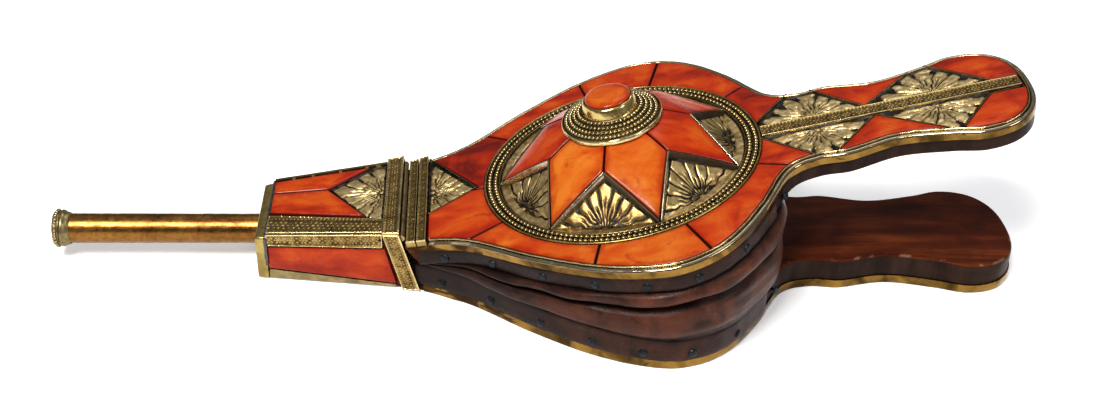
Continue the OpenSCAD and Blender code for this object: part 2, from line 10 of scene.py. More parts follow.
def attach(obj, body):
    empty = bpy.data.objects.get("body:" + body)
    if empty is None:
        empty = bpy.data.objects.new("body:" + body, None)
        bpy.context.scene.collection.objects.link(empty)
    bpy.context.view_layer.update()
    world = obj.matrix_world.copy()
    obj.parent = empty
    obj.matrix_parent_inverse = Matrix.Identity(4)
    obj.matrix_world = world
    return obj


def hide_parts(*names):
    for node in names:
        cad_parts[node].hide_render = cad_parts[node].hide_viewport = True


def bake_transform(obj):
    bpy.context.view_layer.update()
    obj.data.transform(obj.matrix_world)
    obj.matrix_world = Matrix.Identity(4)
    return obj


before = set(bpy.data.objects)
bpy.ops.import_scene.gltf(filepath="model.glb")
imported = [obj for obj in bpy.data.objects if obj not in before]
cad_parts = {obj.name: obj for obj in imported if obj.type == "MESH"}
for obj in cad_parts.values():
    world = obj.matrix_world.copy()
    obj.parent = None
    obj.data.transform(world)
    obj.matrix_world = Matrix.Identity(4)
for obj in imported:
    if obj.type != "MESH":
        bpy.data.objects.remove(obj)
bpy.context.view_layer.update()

MM = 0.001
TURN = 2 * math.pi
MIRROR = np.array([1, -1])

# ---------------------------------------------------------------- sizes, in mm, as in the CAD
HINGE_Z, OPEN = 31.5, math.radians(13.6)
BOARD_LENGTH, END_U, END_HALF, END_POWER = 310.0, 280.0, 37.0, 2.4
FACE_W, WOOD_W, UNDER_W = -1.9, -3.9, -14.7
RIM_U, INLAY_U, WIRE_IN, SEAM = 2.0, 12.0, 3.4, 0.25
BANDS = {"front_band_a": (1.9, 6.4), "front_band_b": (7.0, 11.6)}
STAR_U, RING_R, TIP_R, NOTCH_R, CROWN_R = 109.5, 69.0, 60.0, 37.0, 22.0
POINTS = 7
STEP = TURN / POINTS
CROWN_W, NOTCH_W = 19.6, 12.1
TOP_CROWN, TOP_NOTCH, TOP_TIP = 23.1, 16.6, -0.7
BOSS_LOW, BOSS_TOP = 23.1, 32.9
LOWER_TOP, HEM_THICK = 16.0, 1.4
TOP_INLAY, SIDE_INLAY = 3.2, 1.6
NOZZLE_Z, TUBE_R, BORE_R, TIP_X, TUBE_END = 14.5, 7.4, 6.2, -172.5, -34
HEM_FROM, HEM_TO, GUSSET_BACK = 5.7, 176.0, 178.0
CURVE = np.array([
    (0, 36.5), (16, 39.5), (32, 46), (62, 68.5), (93, 87), (122, 95.5), (140, 92.5), (156, 82),
    (172, 62), (187, 37.5), (201, 31.5), (216, 32.5), (240, 28), (264, 32.5), (280, 37),
], float)


# ---------------------------------------------------------------- outlines
def hermite(x, x0, x1, y0, y1, m0, m1):
    """A smooth curve from y0 at x0 to y1 at x1, with slopes m0 and m1 there."""
    d = x1 - x0
    t = (x - x0) / d
    return (y0 * (2 * t**3 - 3 * t**2 + 1) + m0 * d * (t**3 - 2 * t**2 + t)
            + y1 * (3 * t**2 - 2 * t**3) + m1 * d * (t**3 - t**2))


def half_width(u):
    """Half the width of the boards at u: a smooth curve through the points of CURVE."""
    u = np.asarray(u, float)
    x, y = CURVE.T
    slope = np.zeros(len(x))
    slope[0] = (y[1] - y[0]) / (x[1] - x[0])
    slope[1:-1] = (y[2:] - y[:-2]) / (x[2:] - x[:-2])
    i = np.clip(np.searchsorted(x, u, side="right") - 1, 0, len(x) - 2)
    return hermite(u, x[i], x[i + 1], y[i], y[i + 1], slope[i], slope[i + 1])


def lengthwise(points):
    """Unit steps along a line of points."""
    run = np.gradient(points, axis=0)
    return run / np.linalg.norm(run, axis=1)[:, None]


def normals_of(points):
    """Unit normals to the left of an open line of points in plan."""
    run = lengthwise(points)
    return np.stack([-run[:, 1], run[:, 0]], 1)


def rail(u_from, u_to=None, spacing=1.6):
    """The +v edge of a board, with outward normals, from u_from to u_to or to the tip of the handle."""
    last = END_U if u_to is None else u_to
    u = np.linspace(u_from, last, int((last - u_from) / spacing) + 2)
    points = np.stack([u, half_width(u)], 1)
    if u_to is None:
        a = np.linspace(0, math.pi / 2, 30)[1:]
        end = np.stack([END_U + (BOARD_LENGTH - END_U) * np.sin(a) ** (2 / END_POWER),
                        END_HALF * np.maximum(np.cos(a), 0) ** (2 / END_POWER)], 1)
        points = np.concatenate([points, end])
    normals = normals_of(points)
    if u_to is None:
        normals[-1] = (1, 0)
    return points, normals


def whole_rail(u_from, spacing=1.6):
    """The edge from the front on the -v side, round the handle, to the front on the +v side."""
    return [np.concatenate([line * MIRROR, line[-2::-1]]) for line in rail(u_from, None, spacing)]


def lower_in(u):
    """How much narrower the lower board is."""
    return 1.2 + 4.6 * np.maximum(0, 1 - np.asarray(u) / 24)


def outline(u_from, inset, narrow=lambda u: 0 * u):
    """The plan of a board from u_from on, set in from its edge."""
    points, normals = whole_rail(u_from)
    shape = points - normals * (inset + narrow(points[:, 0]))[:, None]
    shape[0, 0] = shape[-1, 0] = u_from
    return shape


def between(a, b, count=24):
    return np.array(a) + (np.array(b) - np.array(a)) * np.linspace(0, 1, count)[:, None]


def disc(radius, steps):
    a = np.arange(steps) * TURN / steps
    return np.stack([STAR_U + radius * np.cos(a), radius * np.sin(a)], 1)


def waves(x, y, size, seed):
    """Smooth unevenness within about -1 to 1, with bumps about `size` mm apart."""
    random = np.random.default_rng(seed)
    total = 0
    for _ in range(6):
        turn, pitch, start = random.uniform(0, TURN), random.uniform(0.6, 1.5) / size, random.uniform(0, TURN)
        total = total + np.sin(TURN * pitch * (x * math.cos(turn) + y * math.sin(turn)) + start)
    return total / 4


def uneven(points, size, seed):
    """Waves at points of a line, for all of the profile there."""
    return waves(*points.T, size, seed)[:, None]


def smooth(t):
    t = np.clip(t, 0, 1)
    return t * t * (3 - 2 * t)


def flat(height):
    """The same height everywhere."""
    return lambda x, y: height + 0 * x


# ---------------------------------------------------------------- places
def on_upper(p):
    """From the upper board's u, v, w to the row frame."""
    u, v, w = np.asarray(p, float).T
    return np.stack([u * math.cos(OPEN) - w * math.sin(OPEN), v,
                     HINGE_Z + u * math.sin(OPEN) + w * math.cos(OPEN)], 1)


def turned_place(angle):
    """Local x along a direction from the star's centre, then onto the board."""
    def place(p):
        x, y, h = np.asarray(p, float).T
        return on_upper(np.stack([STAR_U + x * math.cos(angle) - y * math.sin(angle),
                                  x * math.sin(angle) + y * math.cos(angle), h], 1))
    return place


def as_is(p):
    return np.asarray(p, float)


def nose_z(x):
    return 31 + 0.1 * x


def nose_y(x, z):
    return 32.6 + 0.12814 * x - 0.09 * (31 - z)


def on_nose_top(p):
    x, y, h = np.asarray(p, float).T
    return np.stack([x, y, nose_z(x) + h], 1)


def beside_nose(side):
    def place(p):
        x, z, h = np.asarray(p, float).T
        return np.stack([x, side * (nose_y(x, z) + h), z], 1)
    return place


def on_nozzle(p):
    x, y, h = np.asarray(p, float).T
    return np.stack([h, x, y + NOZZLE_Z], 1)


def add_piece(name, made, look, body, node="", place=as_is, sharp=38, slot="", **values):
    """A mesh from points in mm and faces. values are numbers at its points, which its material reads."""
    points, faces = place(made[0]), made[1]
    corners = np.array([(f[0], f[k], f[k + 1]) for f in faces for k in range(1, len(f) - 1)])
    a, b, c = points[corners].transpose(1, 0, 2)
    if (a * np.cross(b, c)).sum() < 0:
        faces = [f[::-1] for f in faces]
    mesh = bpy.data.meshes.new(name)
    mesh.from_pydata((points * MM).tolist(), [], [[int(i) for i in f] for f in faces])
    mesh.polygons.foreach_set("use_smooth", np.ones(len(faces), bool))
    for key, value in values.items():
        mesh.attributes.new(key, "FLOAT", "POINT").data.foreach_set(
            "value", np.broadcast_to(np.asarray(value, np.float32), (len(points),)).copy())
    mesh.update()
    mark_sharp(mesh, sharp)
    mesh.materials.append(look)
    piece = link_object(name, mesh)
    if body:
        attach(piece, body)
    if node:
        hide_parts(node)
    return piece


def link_object(name, data):
    made = bpy.data.objects.new(name, data)
    bpy.context.scene.collection.objects.link(made)
    return made


def mark_sharp(mesh, degrees):
    """Edges that turn by more than this stay sharp."""
    normals = np.zeros(len(mesh.polygons) * 3)
    mesh.polygons.foreach_get("normal", normals)
    normals = normals.reshape(-1, 3)
    sizes = np.zeros(len(mesh.polygons), int)
    mesh.polygons.foreach_get("loop_total", sizes)
    edge = np.zeros(len(mesh.loops), int)
    mesh.loops.foreach_get("edge_index", edge)
    order = np.argsort(edge, kind="stable")
    edge, face = edge[order], np.repeat(np.arange(len(sizes)), sizes)[order]
    pair = np.flatnonzero(edge[1:] == edge[:-1])
    turn = (normals[face[pair]] * normals[face[pair + 1]]).sum(1)
    flags = np.zeros(len(mesh.edges), bool)
    flags[edge[pair][turn < math.cos(math.radians(degrees))]] = True
    mesh.attributes.new("sharp_edge", "BOOLEAN", "EDGE").data.foreach_set("value", flags)


def joined(parts):
    """Several (points, faces, values...) as one."""
    columns = list(zip(*parts))
    starts = np.cumsum([0, *(len(points) for points in columns[0])]).tolist()
    faces = [[i + start for i in face] for part, start in zip(columns[1], starts) for face in part]
    return np.concatenate(columns[0]), faces, *(np.concatenate(values) for values in columns[2:])


def grid_faces(rows, columns, close_rows=True, close_columns=True):
    """Quads between the points of a grid, row after row."""
    return [[r * columns + c, r * columns + (c + 1) % columns,
             (r + 1) % rows * columns + (c + 1) % columns, (r + 1) % rows * columns + c]
            for r in range(rows if close_rows else rows - 1)
            for c in range(columns if close_columns else columns - 1)]


def tube_faces(rows, columns):
    """The faces of a grid whose rows are rings, with its ends closed."""
    ends = [list(range(columns))[::-1], [(rows - 1) * columns + k for k in range(columns)]]
    return grid_faces(rows, columns, close_rows=False) + ends


def sweep(points, normals, profile):
    """A closed profile of (inset, level), one for each point, drawn along an open edge."""
    flat_points = points[:, None, :] - normals[:, None, :] * profile[:, :, :1]
    made = np.concatenate([flat_points, profile[:, :, 1:]], 2).reshape(-1, 3)
    return made, tube_faces(*profile.shape[:2])


def repeated(shape, points):
    """The same profile at each point, ready to be made uneven."""
    return np.repeat(np.array(shape)[None], len(points), 0)


def tube(path, radius, rough=0.12, sides=8):
    """A round wire along a line of points, with closed ends."""
    run = lengthwise(path)
    side = np.cross(run, (1.0, 0.02, 0.03))
    side /= np.linalg.norm(side, axis=1)[:, None]
    up = np.cross(run, side)
    a = np.arange(sides) * TURN / sides
    along = np.concatenate([[0], np.cumsum(np.linalg.norm(np.diff(path, axis=0), axis=1))])
    r = radius * (1 + rough * waves(along, 0 * along, 8, 61))[:, None, None]
    ring = side[:, None] * np.cos(a)[None, :, None] + up[:, None] * np.sin(a)[None, :, None]
    return (path[:, None] + ring * r).reshape(-1, 3), tube_faces(len(path), sides)


def wall(line, thick, low, high, side=1):
    """A thin upright strip along a line in plan, on its left with side 1."""
    normal = normals_of(line) * side
    low, high = (np.broadcast_to(np.asarray(v, float), len(line)) for v in (low, high))
    section = [(0, low), (0, high - 0.12), (0.14 * thick, high), (0.86 * thick, high), (thick, high - 0.12),
               (thick, low)]
    points = np.stack([np.column_stack([line + normal * o, h]) for o, h in section], 1)
    return points.reshape(-1, 3), tube_faces(*points.shape[:2])


def slab(low, high):
    n = len(low)
    return (np.concatenate([low, high]),
            [list(range(n))[::-1], [n + k for k in range(n)]]
            + [[k, (k + 1) % n, n + (k + 1) % n, n + k] for k in range(n)])


def lathe(profile, steps, centre=(STAR_U, 0), rough=0.0, seed=1, closed=True):
    """A profile of (radius, height) turned round an upright axis, a little uneven, as if beaten by hand."""
    profile = np.asarray(profile, float)
    m = len(profile)
    a = np.arange(steps) * TURN / steps
    r = profile[None, :, 0] + rough * waves(a[:, None] * 20, profile[None, :, 1] * 2, 12, seed)
    h = profile[None, :, 1] + rough * waves(a[:, None] * 20, profile[None, :, 0] * 2, 12, seed + 1)
    x = centre[0] + r * np.cos(a)[:, None]
    y = centre[1] + r * np.sin(a)[:, None]
    points = np.stack([x, y, np.broadcast_to(h, x.shape)], 2).reshape(-1, 3)
    faces = grid_faces(steps, m, close_columns=closed)
    if not closed:
        faces += [[k * m for k in range(steps)], [k * m + m - 1 for k in range(steps)][::-1]]
    return points, faces


def beads(radius, level, size, pitch, centre=(STAR_U, 0), sides=10, per_bead=7):
    """A beaded wire in a ring about an upright axis: points, faces and how full each bead is there."""
    n = round(TURN * radius / pitch) * per_bead
    a = np.arange(n) * TURN / n
    k = np.arange(sides) * TURN / sides
    part = np.arange(n) % per_bead / per_bead * 2 - 1
    full = np.sqrt(np.maximum(1 - (np.abs(part) ** 2.2), 0.12))
    thick = size * full * (1 + 0.07 * waves(np.arange(n) // per_bead * 1.0, 0 * a, 2.3, 17))
    r = radius + thick[:, None] * np.cos(k)[None]
    h = level + thick[:, None] * np.sin(k)[None]
    x, y = centre[0] + r * np.cos(a)[:, None], centre[1] + r * np.sin(a)[:, None]
    return np.stack([x, y, h], 2).reshape(-1, 3), grid_faces(n, sides), np.repeat(full, sides)


def area_of(loop):
    x, y = np.asarray(loop, float).T
    return (x * np.roll(y, -1) - y * np.roll(x, -1)).sum() / 2


def cut_region(keep, drop=()):
    """The loops round what lies inside all of `keep` and outside all of `drop`."""
    corners, faces = [], []
    for shape in [*keep, *drop]:
        shape = np.asarray(shape, float)
        if area_of(shape) < 0:
            shape = shape[::-1]
        faces.append(list(range(len(corners), len(corners) + len(shape))))
        corners += [Vector(p) for p in shape.tolist()]
    points, _, triangles, _, _, owners = delaunay_2d_cdt(corners, [], faces, 0, 1e-5)
    inside = set(range(len(keep)))
    wanted = [t for t, o in zip(triangles, owners) if inside <= set(o) and max(o) < len(keep)]
    edges = {(t[i], t[(i + 1) % 3]) for t in wanted for i in range(3)}
    following = {a: b for a, b in sorted(edges) if (b, a) not in edges}
    loops = []
    while following:
        first = min(following)
        loop, here = [first], following.pop(first)
        while here != first:
            loop.append(here)
            here = following.pop(here)
        loop = np.array([points[i][:] for i in loop])
        far = np.linalg.norm(loop - np.roll(loop, 1, 0), axis=1) > 0.06
        if abs(area_of(loop)) > 3:
            loops.append(loop[far])
    return loops


def sides_of(loops):
    return np.concatenate(loops), np.concatenate([np.roll(loop, -1, 0) for loop in loops])


def edge_distance(points, loops):
    """How far points are from the nearest of the loops."""
    starts, ends = sides_of(loops)
    run = ends - starts
    best = np.full(len(points), 1e9)
    for k in range(0, len(points), 4000):
        p = points[k:k + 4000, None, :] - starts[None]
        t = np.clip((p * run).sum(2) / (run**2).sum(1), 0, 1)
        best[k:k + 4000] = np.linalg.norm(p - t[:, :, None] * run, axis=2).min(1)
    return best


def is_inside(points, loops):
    starts, ends = sides_of(loops)
    out = np.zeros(len(points), bool)
    for k in range(0, len(points), 8000):
        x, y = points[k:k + 8000, 0, None], points[k:k + 8000, 1, None]
        over = (starts[:, 1] > y) != (ends[:, 1] > y)
        rise = np.where(ends[:, 1] == starts[:, 1], 1e-12, ends[:, 1] - starts[:, 1])
        cross = starts[:, 0] + (y - starts[:, 1]) / rise * (ends[:, 0] - starts[:, 0])
        out[k:k + 8000] = (over & (x < cross)).sum(1) % 2 == 1
    return out


def triangles_of(points, loops, edges):
    """Triangles inside the loops, and where each of the points went."""
    made, _, faces, sources, _, _ = delaunay_2d_cdt([Vector(p) for p in points.tolist()], edges, [], 0, 1e-7)
    made = np.array([p[:] for p in made])
    faces = np.array(faces)
    faces = faces[is_inside(made[faces].mean(1), loops)]
    return made, faces.tolist(), {i: j for j, group in enumerate(sources) for i in group}


def plate(loops, spacing, rings, top, low, bent=False):
    """A solid over the loops, with its distances from their edge. top(x, y, d) gives its height at a
    distance d from the edge, and low(x, y) its underside, which has points of its own if it is bent."""
    rims = []
    for loop in loops:
        line = []
        for a, b in zip(loop, np.roll(loop, -1, 0)):
            steps = max(1, round(np.linalg.norm(b - a) / spacing))
            line += [a + (b - a) * k / steps for k in range(steps)]
        rims.append(np.array(line))
    border = np.concatenate(rims)
    edges, keep = [], [border]
    for rim in rims:
        n, start = len(rim), len(edges)
        edges += [(start + k, start + (k + 1) % n) for k in range(n)]
        run = np.roll(rim, -1, 0) - rim
        run /= np.linalg.norm(run, axis=1)[:, None]
        inward = np.stack([-run[:, 1], run[:, 0]], 1)
        inward = inward + np.roll(inward, 1, 0)
        inward /= np.maximum((inward**2).sum(1) / 2, 0.5)[:, None]
        for r in rings:
            points = rim + inward * r
            keep.append(points[is_inside(points, rims) & (edge_distance(points, rims) > 0.93 * r)])
    x, y = np.meshgrid(*(np.arange(a, b, step) for a, b, step in
                         zip(border.min(0), border.max(0), (spacing, spacing * 0.866))))
    x = x + (np.arange(len(x)) % 2)[:, None] * spacing / 2
    field = np.stack([x.ravel(), y.ravel()], 1)
    field = field[is_inside(field, rims)]
    field = field[edge_distance(field, rims) > rings[-1] + 0.55 * spacing]
    above, faces, where = triangles_of(np.concatenate([*keep, field]), rims, edges)
    d = edge_distance(above, rims)
    d[[where[i] for i in range(len(border))]] = 0
    inner = field[::29][edge_distance(field[::29], rims) > 1.6] if bent else field[:0]
    under, under_faces, under_where = triangles_of(np.concatenate([border, inner]), rims, edges)
    base = len(above)
    points = np.concatenate([np.column_stack([above, top(*above.T, d)]), np.column_stack([under, low(*under.T)])])
    faces = faces + [[base + i for i in f[::-1]] for f in under_faces]
    faces += [[where[a], base + under_where[a], base + under_where[b], where[b]] for a, b in edges]
    return points, faces, np.concatenate([d, np.zeros(len(under))])


def rounding(d, radius):
    """How far a rounded edge lies below its plate's face."""
    return radius - np.sqrt(np.maximum(radius**2 - np.maximum(radius - d, 0) ** 2, 0))


def edge_rings(radius):
    return [radius * k for k in (0.04, 0.14, 0.3, 0.52, 0.78, 1.1)]


def dome(x, y, d, height, seed):
    """A plate worn slightly round, and not quite flat."""
    return height * (1 - np.exp(-d / 5)) + 0.16 * waves(x, y, 24, seed) * smooth(d / 3)


# ---------------------------------------------------------------- materials
def add(tree, kind, inputs=None, **settings):
    made = tree.nodes.new("ShaderNode" + kind)
    for key, value in settings.items():
        setattr(made, key, value)
    for key, value in (inputs or {}).items():
        if isinstance(value, bpy.types.NodeSocket):
            tree.links.new(value, made.inputs[key])
        else:
            made.inputs[key].default_value = value
    return made


class Look:
    """A material with a colour that is built up in layers, and short ways to add its nodes."""

    def __init__(self, name, **shader):
        self.material = bpy.data.materials.new(name)
        self.material.use_nodes = True
        self.tree = self.material.node_tree
        self.shader = self.tree.nodes["Principled BSDF"]
        for key, value in shader.items():
            self.shader.inputs[key.replace("_", " ")].default_value = value
        self.place = add(self.tree, "TexCoord").outputs["Object"]
        self.colour = None

    def stretched(self, *scale):
        return add(self.tree, "Mapping", {"Vector": self.place, "Scale": scale}).outputs[0]

    def noise(self, scale, detail=4, distortion=0.0, coords=None):
        return add(self.tree, "TexNoise", {"Vector": coords or self.place, "Scale": scale, "Detail": detail,
                                           "Roughness": 0.55, "Distortion": distortion}).outputs[0]

    def cells(self, scale, feature="F1"):
        made = add(self.tree, "TexVoronoi", {"Vector": self.place, "Scale": scale}, feature=feature)
        return made.outputs["Distance"]

    def value(self, name):
        return add(self.tree, "Attribute", attribute_name=name).outputs["Fac"]

    def range(self, value, low, high, to_low=0.0, to_high=1.0, soft=False):
        return add(self.tree, "MapRange", {"Value": value, "From Min": low, "From Max": high, "To Min": to_low,
                                           "To Max": to_high},
                   interpolation_type="SMOOTHSTEP" if soft else "LINEAR").outputs["Result"]

    def math(self, operation, a, b):
        return add(self.tree, "Math", {0: a, 1: b}, operation=operation).outputs[0]

    def ramp(self, value, *stops):
        made = add(self.tree, "ValToRGB", {"Fac": value})
        for k, (at, *colour) in enumerate(stops):
            stop = made.color_ramp.elements[k] if k < 2 else made.color_ramp.elements.new(at)
            stop.position, stop.color = at, (*colour, 1)
        return made.outputs["Color"]

    def mix(self, share, a, b):
        a, b = ((*v, 1) if isinstance(v, tuple) else v for v in (a, b))
        return add(self.tree, "Mix", {0: share, 6: a, 7: b}, data_type="RGBA").outputs[2]

    def layer(self, share, colour):
        """Covers this share of the colour so far."""
        self.colour = self.mix(share, self.colour, colour)

    def bump(self, height, distance, strength):
        """A bump of this depth in metres, on top of those added before."""
        made = add(self.tree, "Bump", {"Height": height, "Distance": distance, "Strength": strength})
        old = self.shader.inputs["Normal"]
        if old.is_linked:
            self.tree.links.new(old.links[0].from_socket, made.inputs["Normal"])
        self.tree.links.new(made.outputs[0], old)

    def finish(self, rough=None):
        self.tree.links.new(self.colour, self.shader.inputs["Base Color"])
        if rough:
            self.tree.links.new(rough, self.shader.inputs["Roughness"])
        return self.material


def bone_look(name):
    look = Look(name, Coat_Weight=0.06, Coat_Roughness=0.12, Specular_IOR_Level=0.19,
                Subsurface_Weight=0.06, Subsurface_Scale=0.003, Subsurface_Radius=(1.0, 0.30, 0.08))
    tint, edge = look.value("tint"), look.value("edge")
    shift = add(look.tree, "VectorMath", {0: (3.7, 5.3, 0.0), "Scale": tint}, operation="SCALE").outputs[0]
    look.place = add(look.tree, "VectorMath", {0: look.place, 1: shift}, operation="ADD").outputs[0]
    cloud = look.math("MULTIPLY", look.noise(38, 4, 0.8), 0.80)
    streak = look.math("MULTIPLY", look.noise(1.0, 4, 0.5, look.stretched(26, 90, 90)), 0.52)
    blend = look.math("ADD", look.math("ADD", cloud, streak), look.range(tint, 0, 1, -0.36, 0.06))
    look.colour = look.ramp(blend, (0.24, 0.12, 0.006, 0.002), (0.38, 0.29, 0.019, 0.002),
                            (0.50, 0.42, 0.045, 0.003), (0.64, 0.47, 0.088, 0.006), (0.80, 0.54, 0.155, 0.018))
    look.layer(look.range(look.noise(120, 3, 1.2), 0.58, 0.78, 0, 0.65, True), (0.30, 0.018, 0.006))
    look.layer(look.range(look.cells(420), 0.05, 0.16, 0.25, 0.0), (0.22, 0.012, 0.004))
    shade = look.math("ADD", edge, look.range(look.noise(90, 3, 0.5), 0.3, 0.7, -2.0, 2.0))
    look.layer(look.range(shade, 0.3, 3.8, 0.60, 0.0, True), (0.27, 0.012, 0.002))
    look.layer(look.range(edge, 0.1, 0.8, 0.92, 0.0, True), (0.06, 0.008, 0.004))
    look.bump(look.noise(70, 2, 0.3), 0.0012, 0.35)
    look.bump(look.noise(1.0, 3, 0.2, look.stretched(150, 620, 620)), 0.00012, 0.5)
    return look.finish(look.range(look.noise(160, 3), 0.3, 0.7, 0.13, 0.30))


def metal_look(name, bright, dull, shine, wear, grime_shade_and_highlight="", scratch=(900, 900, 900)):
    """Metal with tarnish in it. The values it names paint it: low ones dark, which is dirt in the hollows of
    stamped work, where they say how high a point lies, painted shade on the boss and on the star's edging, and
    darker between beads; ones over 1 pale, a painted highlight.
    """
    look = Look(name, Metallic=1.0)
    patch = look.range(look.noise(60, 5, 0.6), 0.5 - wear * 0.3, 0.5 + wear * 0.45, 0.0, 0.7, True)
    look.colour = look.mix(patch, bright, dull)
    look.layer(look.range(look.noise(420, 4, 0.3), 0.42, 0.72, 0, 0.45, True), dull)
    rough = look.range(look.noise(300, 3), 0.3, 0.7, *shine)
    if grime_shade_and_highlight:
        # Low values darken: dirt in stamped hollows, painted shade on the boss and on one side of the star's
        # edging, and darker between beads.
        look.layer(look.range(look.value(grime_shade_and_highlight), 0.12, 0.62, 0.88, 0.0, True), (0.050, 0.030, 0.014))
        # Values over 1, on the plain edges of the stamped strips, are painted pale: a painted highlight.
        look.layer(look.range(look.value(grime_shade_and_highlight), 1.0, 1.2, 0.0, 0.9, True), (0.62, 0.51, 0.27))
        rough = look.math("ADD", rough, look.range(look.value(grime_shade_and_highlight), 0.12, 0.62, 0.35, 0.0, True))
    look.bump(look.noise(1.0, 3, 0, look.stretched(*scratch)), 0.00006, 0.6)
    look.bump(look.noise(140, 3, 0.4), 0.0004, 0.35)
    return look.finish(rough)


def rim_look(name):
    """The rim band: an olive side with brown stains, dirtier to the front; its rounded corner is painted pale as a
    painted highlight, and the groove by the wire is painted dark as painted shade.
    """
    look = Look(name, Metallic=1.0)
    patch = look.range(look.noise(52, 5, 0.8), 0.36, 0.66, soft=True)
    look.colour = look.mix(patch, (0.29, 0.172, 0.045), (0.065, 0.038, 0.012))
    limit = look.range(look.value("front"), 0, 1, 0.64, 0.44)
    stain = look.math("SUBTRACT", look.noise(95, 5, 1.5, look.stretched(0.5, 0.5, 1.6)), limit)
    look.layer(look.range(stain, 0.0, 0.06, 0, 0.85, True), (0.055, 0.024, 0.012))
    # Painted highlight: the rounded corner, above a level of -3.2 mm, is painted pale.
    look.layer(look.range(look.value("side"), -4.1, -3.2, 0, 0.85, True), (0.38, 0.32, 0.22))
    # Painted shade: the groove beside the fillet wire is painted dark.
    look.layer(look.range(look.value("groove"), 0.0, 1.0, 0, 0.9), (0.045, 0.032, 0.02))
    look.bump(look.noise(75, 3, 0.5), 0.0007, 0.4)
    look.bump(look.noise(1.0, 3, 0, look.stretched(300, 300, 1500)), 0.00006, 0.6)
    return look.finish(look.math("ADD", look.range(patch, 0, 1, 0.12, 0.28),
                                 look.range(stain, 0.0, 0.06, 0, 0.3, True)))


def relief_look(name, bright, dull):
    """Sheet brass with chased leaves: pale leaves on a blackened ground, grey solder at its edge."""
    look = Look(name, Metallic=0.85)
    grain = look.noise(260, 4, 0.4)
    leaf = look.mix(look.range(grain, 0.38, 0.66, soft=True), bright, dull)
    # Painted shade: a high value darkens the leaves, on the star sheet that catches the lamps most.
    leaf = look.mix(look.value("tint"), leaf, (0.20, 0.12, 0.036))
    level = look.math("ADD", look.value("relief"), look.range(grain, 0.3, 0.7, -0.10, 0.10))
    look.colour = look.mix(look.range(look.noise(500, 3), 0.4, 0.6), (0.012, 0.010, 0.009), (0.045, 0.034, 0.022))
    look.layer(look.range(level, 0.22, 0.48, soft=True), leaf)
    solder = look.mix(look.range(look.noise(180, 4, 0.5), 0.40, 0.70), (0.016, 0.013, 0.011), (0.10, 0.085, 0.07))
    edge = look.math("ADD", look.value("edge"), look.range(grain, 0.3, 0.7, -0.5, 0.5))
    look.layer(look.range(edge, 0.7, 1.3, 1.0, 0.0, True), solder)
    look.bump(look.noise(700, 3, 0.5), 0.00012, 0.5)
    look.bump(look.noise(220, 3, 0.8), 0.0003, 0.45)
    return look.finish(look.range(level, 0.2, 0.6, 0.55, 0.33))


def wood_look(name, edged=True):
    """Dark stained wood. Edged wood is black at its sides, with rubbed corners."""
    look = Look(name, Specular_IOR_Level=0.09)
    wave = look.noise(1.0, 5, 1.6, look.stretched(8, 62, 90))
    fine = look.noise(1.0, 4, 0.2, look.stretched(45, 900, 900))
    tone = look.math("ADD", look.math("MULTIPLY", wave, 0.55), look.math("MULTIPLY", look.noise(24, 3, 0.6), 0.45))
    look.colour = look.ramp(tone, (0.32, 0.030, 0.007, 0.003), (0.46, 0.080, 0.017, 0.005),
                            (0.56, 0.130, 0.032, 0.009), (0.72, 0.19, 0.055, 0.018))
    look.layer(look.range(fine, 0.5, 0.75, 0.0, 0.5), (0.020, 0.007, 0.005))
    look.layer(look.range(look.noise(46, 5, 0.9), 0.58, 0.74, 0, 0.55, True), (0.022, 0.014, 0.011))
    if edged:
        edge, grain = look.value("edge"), look.noise(1.0, 3, 0.3, look.stretched(120, 120, 30))
        side = look.mix(look.range(grain, 0.35, 0.7), (0.009, 0.009, 0.008), (0.034, 0.024, 0.019))
        look.layer(look.range(edge, 0.0, 0.35, 0.86, 0.0, True), side)
        rub = look.math("MULTIPLY", look.range(edge, 0.5, 2.4, 1.0, 0.0, True), look.range(edge, 0.1, 0.5))
        worn = look.range(look.noise(130, 4, 0.5), 0.52, 0.66, 0, 0.55, True)
        look.layer(look.math("MULTIPLY", rub, worn), (0.30, 0.17, 0.12))
    look.bump(wave, 0.0006, 0.4)
    look.bump(fine, 0.0002, 0.6)
    return look.finish(look.range(look.noise(90, 3), 0.3, 0.7, 0.30, 0.52))


def leather_look(name):
    look = Look(name, Specular_IOR_Level=0.17)
    cloud, fold = look.noise(42, 5, 0.7), look.value("fold")
    look.colour = look.ramp(cloud, (0.30, 0.010, 0.006, 0.005), (0.48, 0.030, 0.012, 0.008),
                            (0.62, 0.066, 0.024, 0.014), (0.78, 0.12, 0.046, 0.027))
    scuff = look.noise(150, 4, 1.0, look.stretched(1, 1, 2.5))
    look.layer(look.range(scuff, 0.60, 0.80, 0, 0.4, True), (0.15, 0.075, 0.055))
    cells = look.cells(620, "DISTANCE_TO_EDGE")
    look.layer(look.range(cells, 0.0, 0.08, 0.35, 0.0), (0.008, 0.004, 0.004))
    # Painted highlight, and wear: the crests of the rolls, where fold is low, are lighter and redder.
    crest_highlight_and_wear = look.math("MULTIPLY", look.range(fold, 0.0, 0.10, 0.55, 0.0),
                      look.range(look.noise(60, 4, 0.8), 0.35, 0.65))
    look.layer(crest_highlight_and_wear, (0.15, 0.048, 0.025))
    # Painted shade: the leather turns near black towards the front, under the upper board, with an uneven border.
    along = add(look.tree, "SeparateXYZ", {0: look.place}).outputs["X"]
    front = look.math("ADD", along, look.range(look.noise(30, 3, 0.5), 0.3, 0.7, -0.02, 0.02))
    look.layer(look.range(front, 0.03, 0.11, 0.72, 0.0, True), (0.013, 0.010, 0.009))
    # Painted shade: darker where fold is high, in the creases, at the fixed ends and on the inside of the gusset.
    look.layer(look.range(fold, 0.0, 1.0, 0.0, 0.85), (0.005, 0.003, 0.003))
    look.bump(look.range(cells, 0.0, 0.15), 0.00010, 0.4)
    look.bump(look.noise(170, 4, 0.9, look.stretched(0.8, 0.8, 2.0)), 0.0005, 0.4)
    return look.finish(look.range(cloud, 0.35, 0.65, 0.28, 0.46))


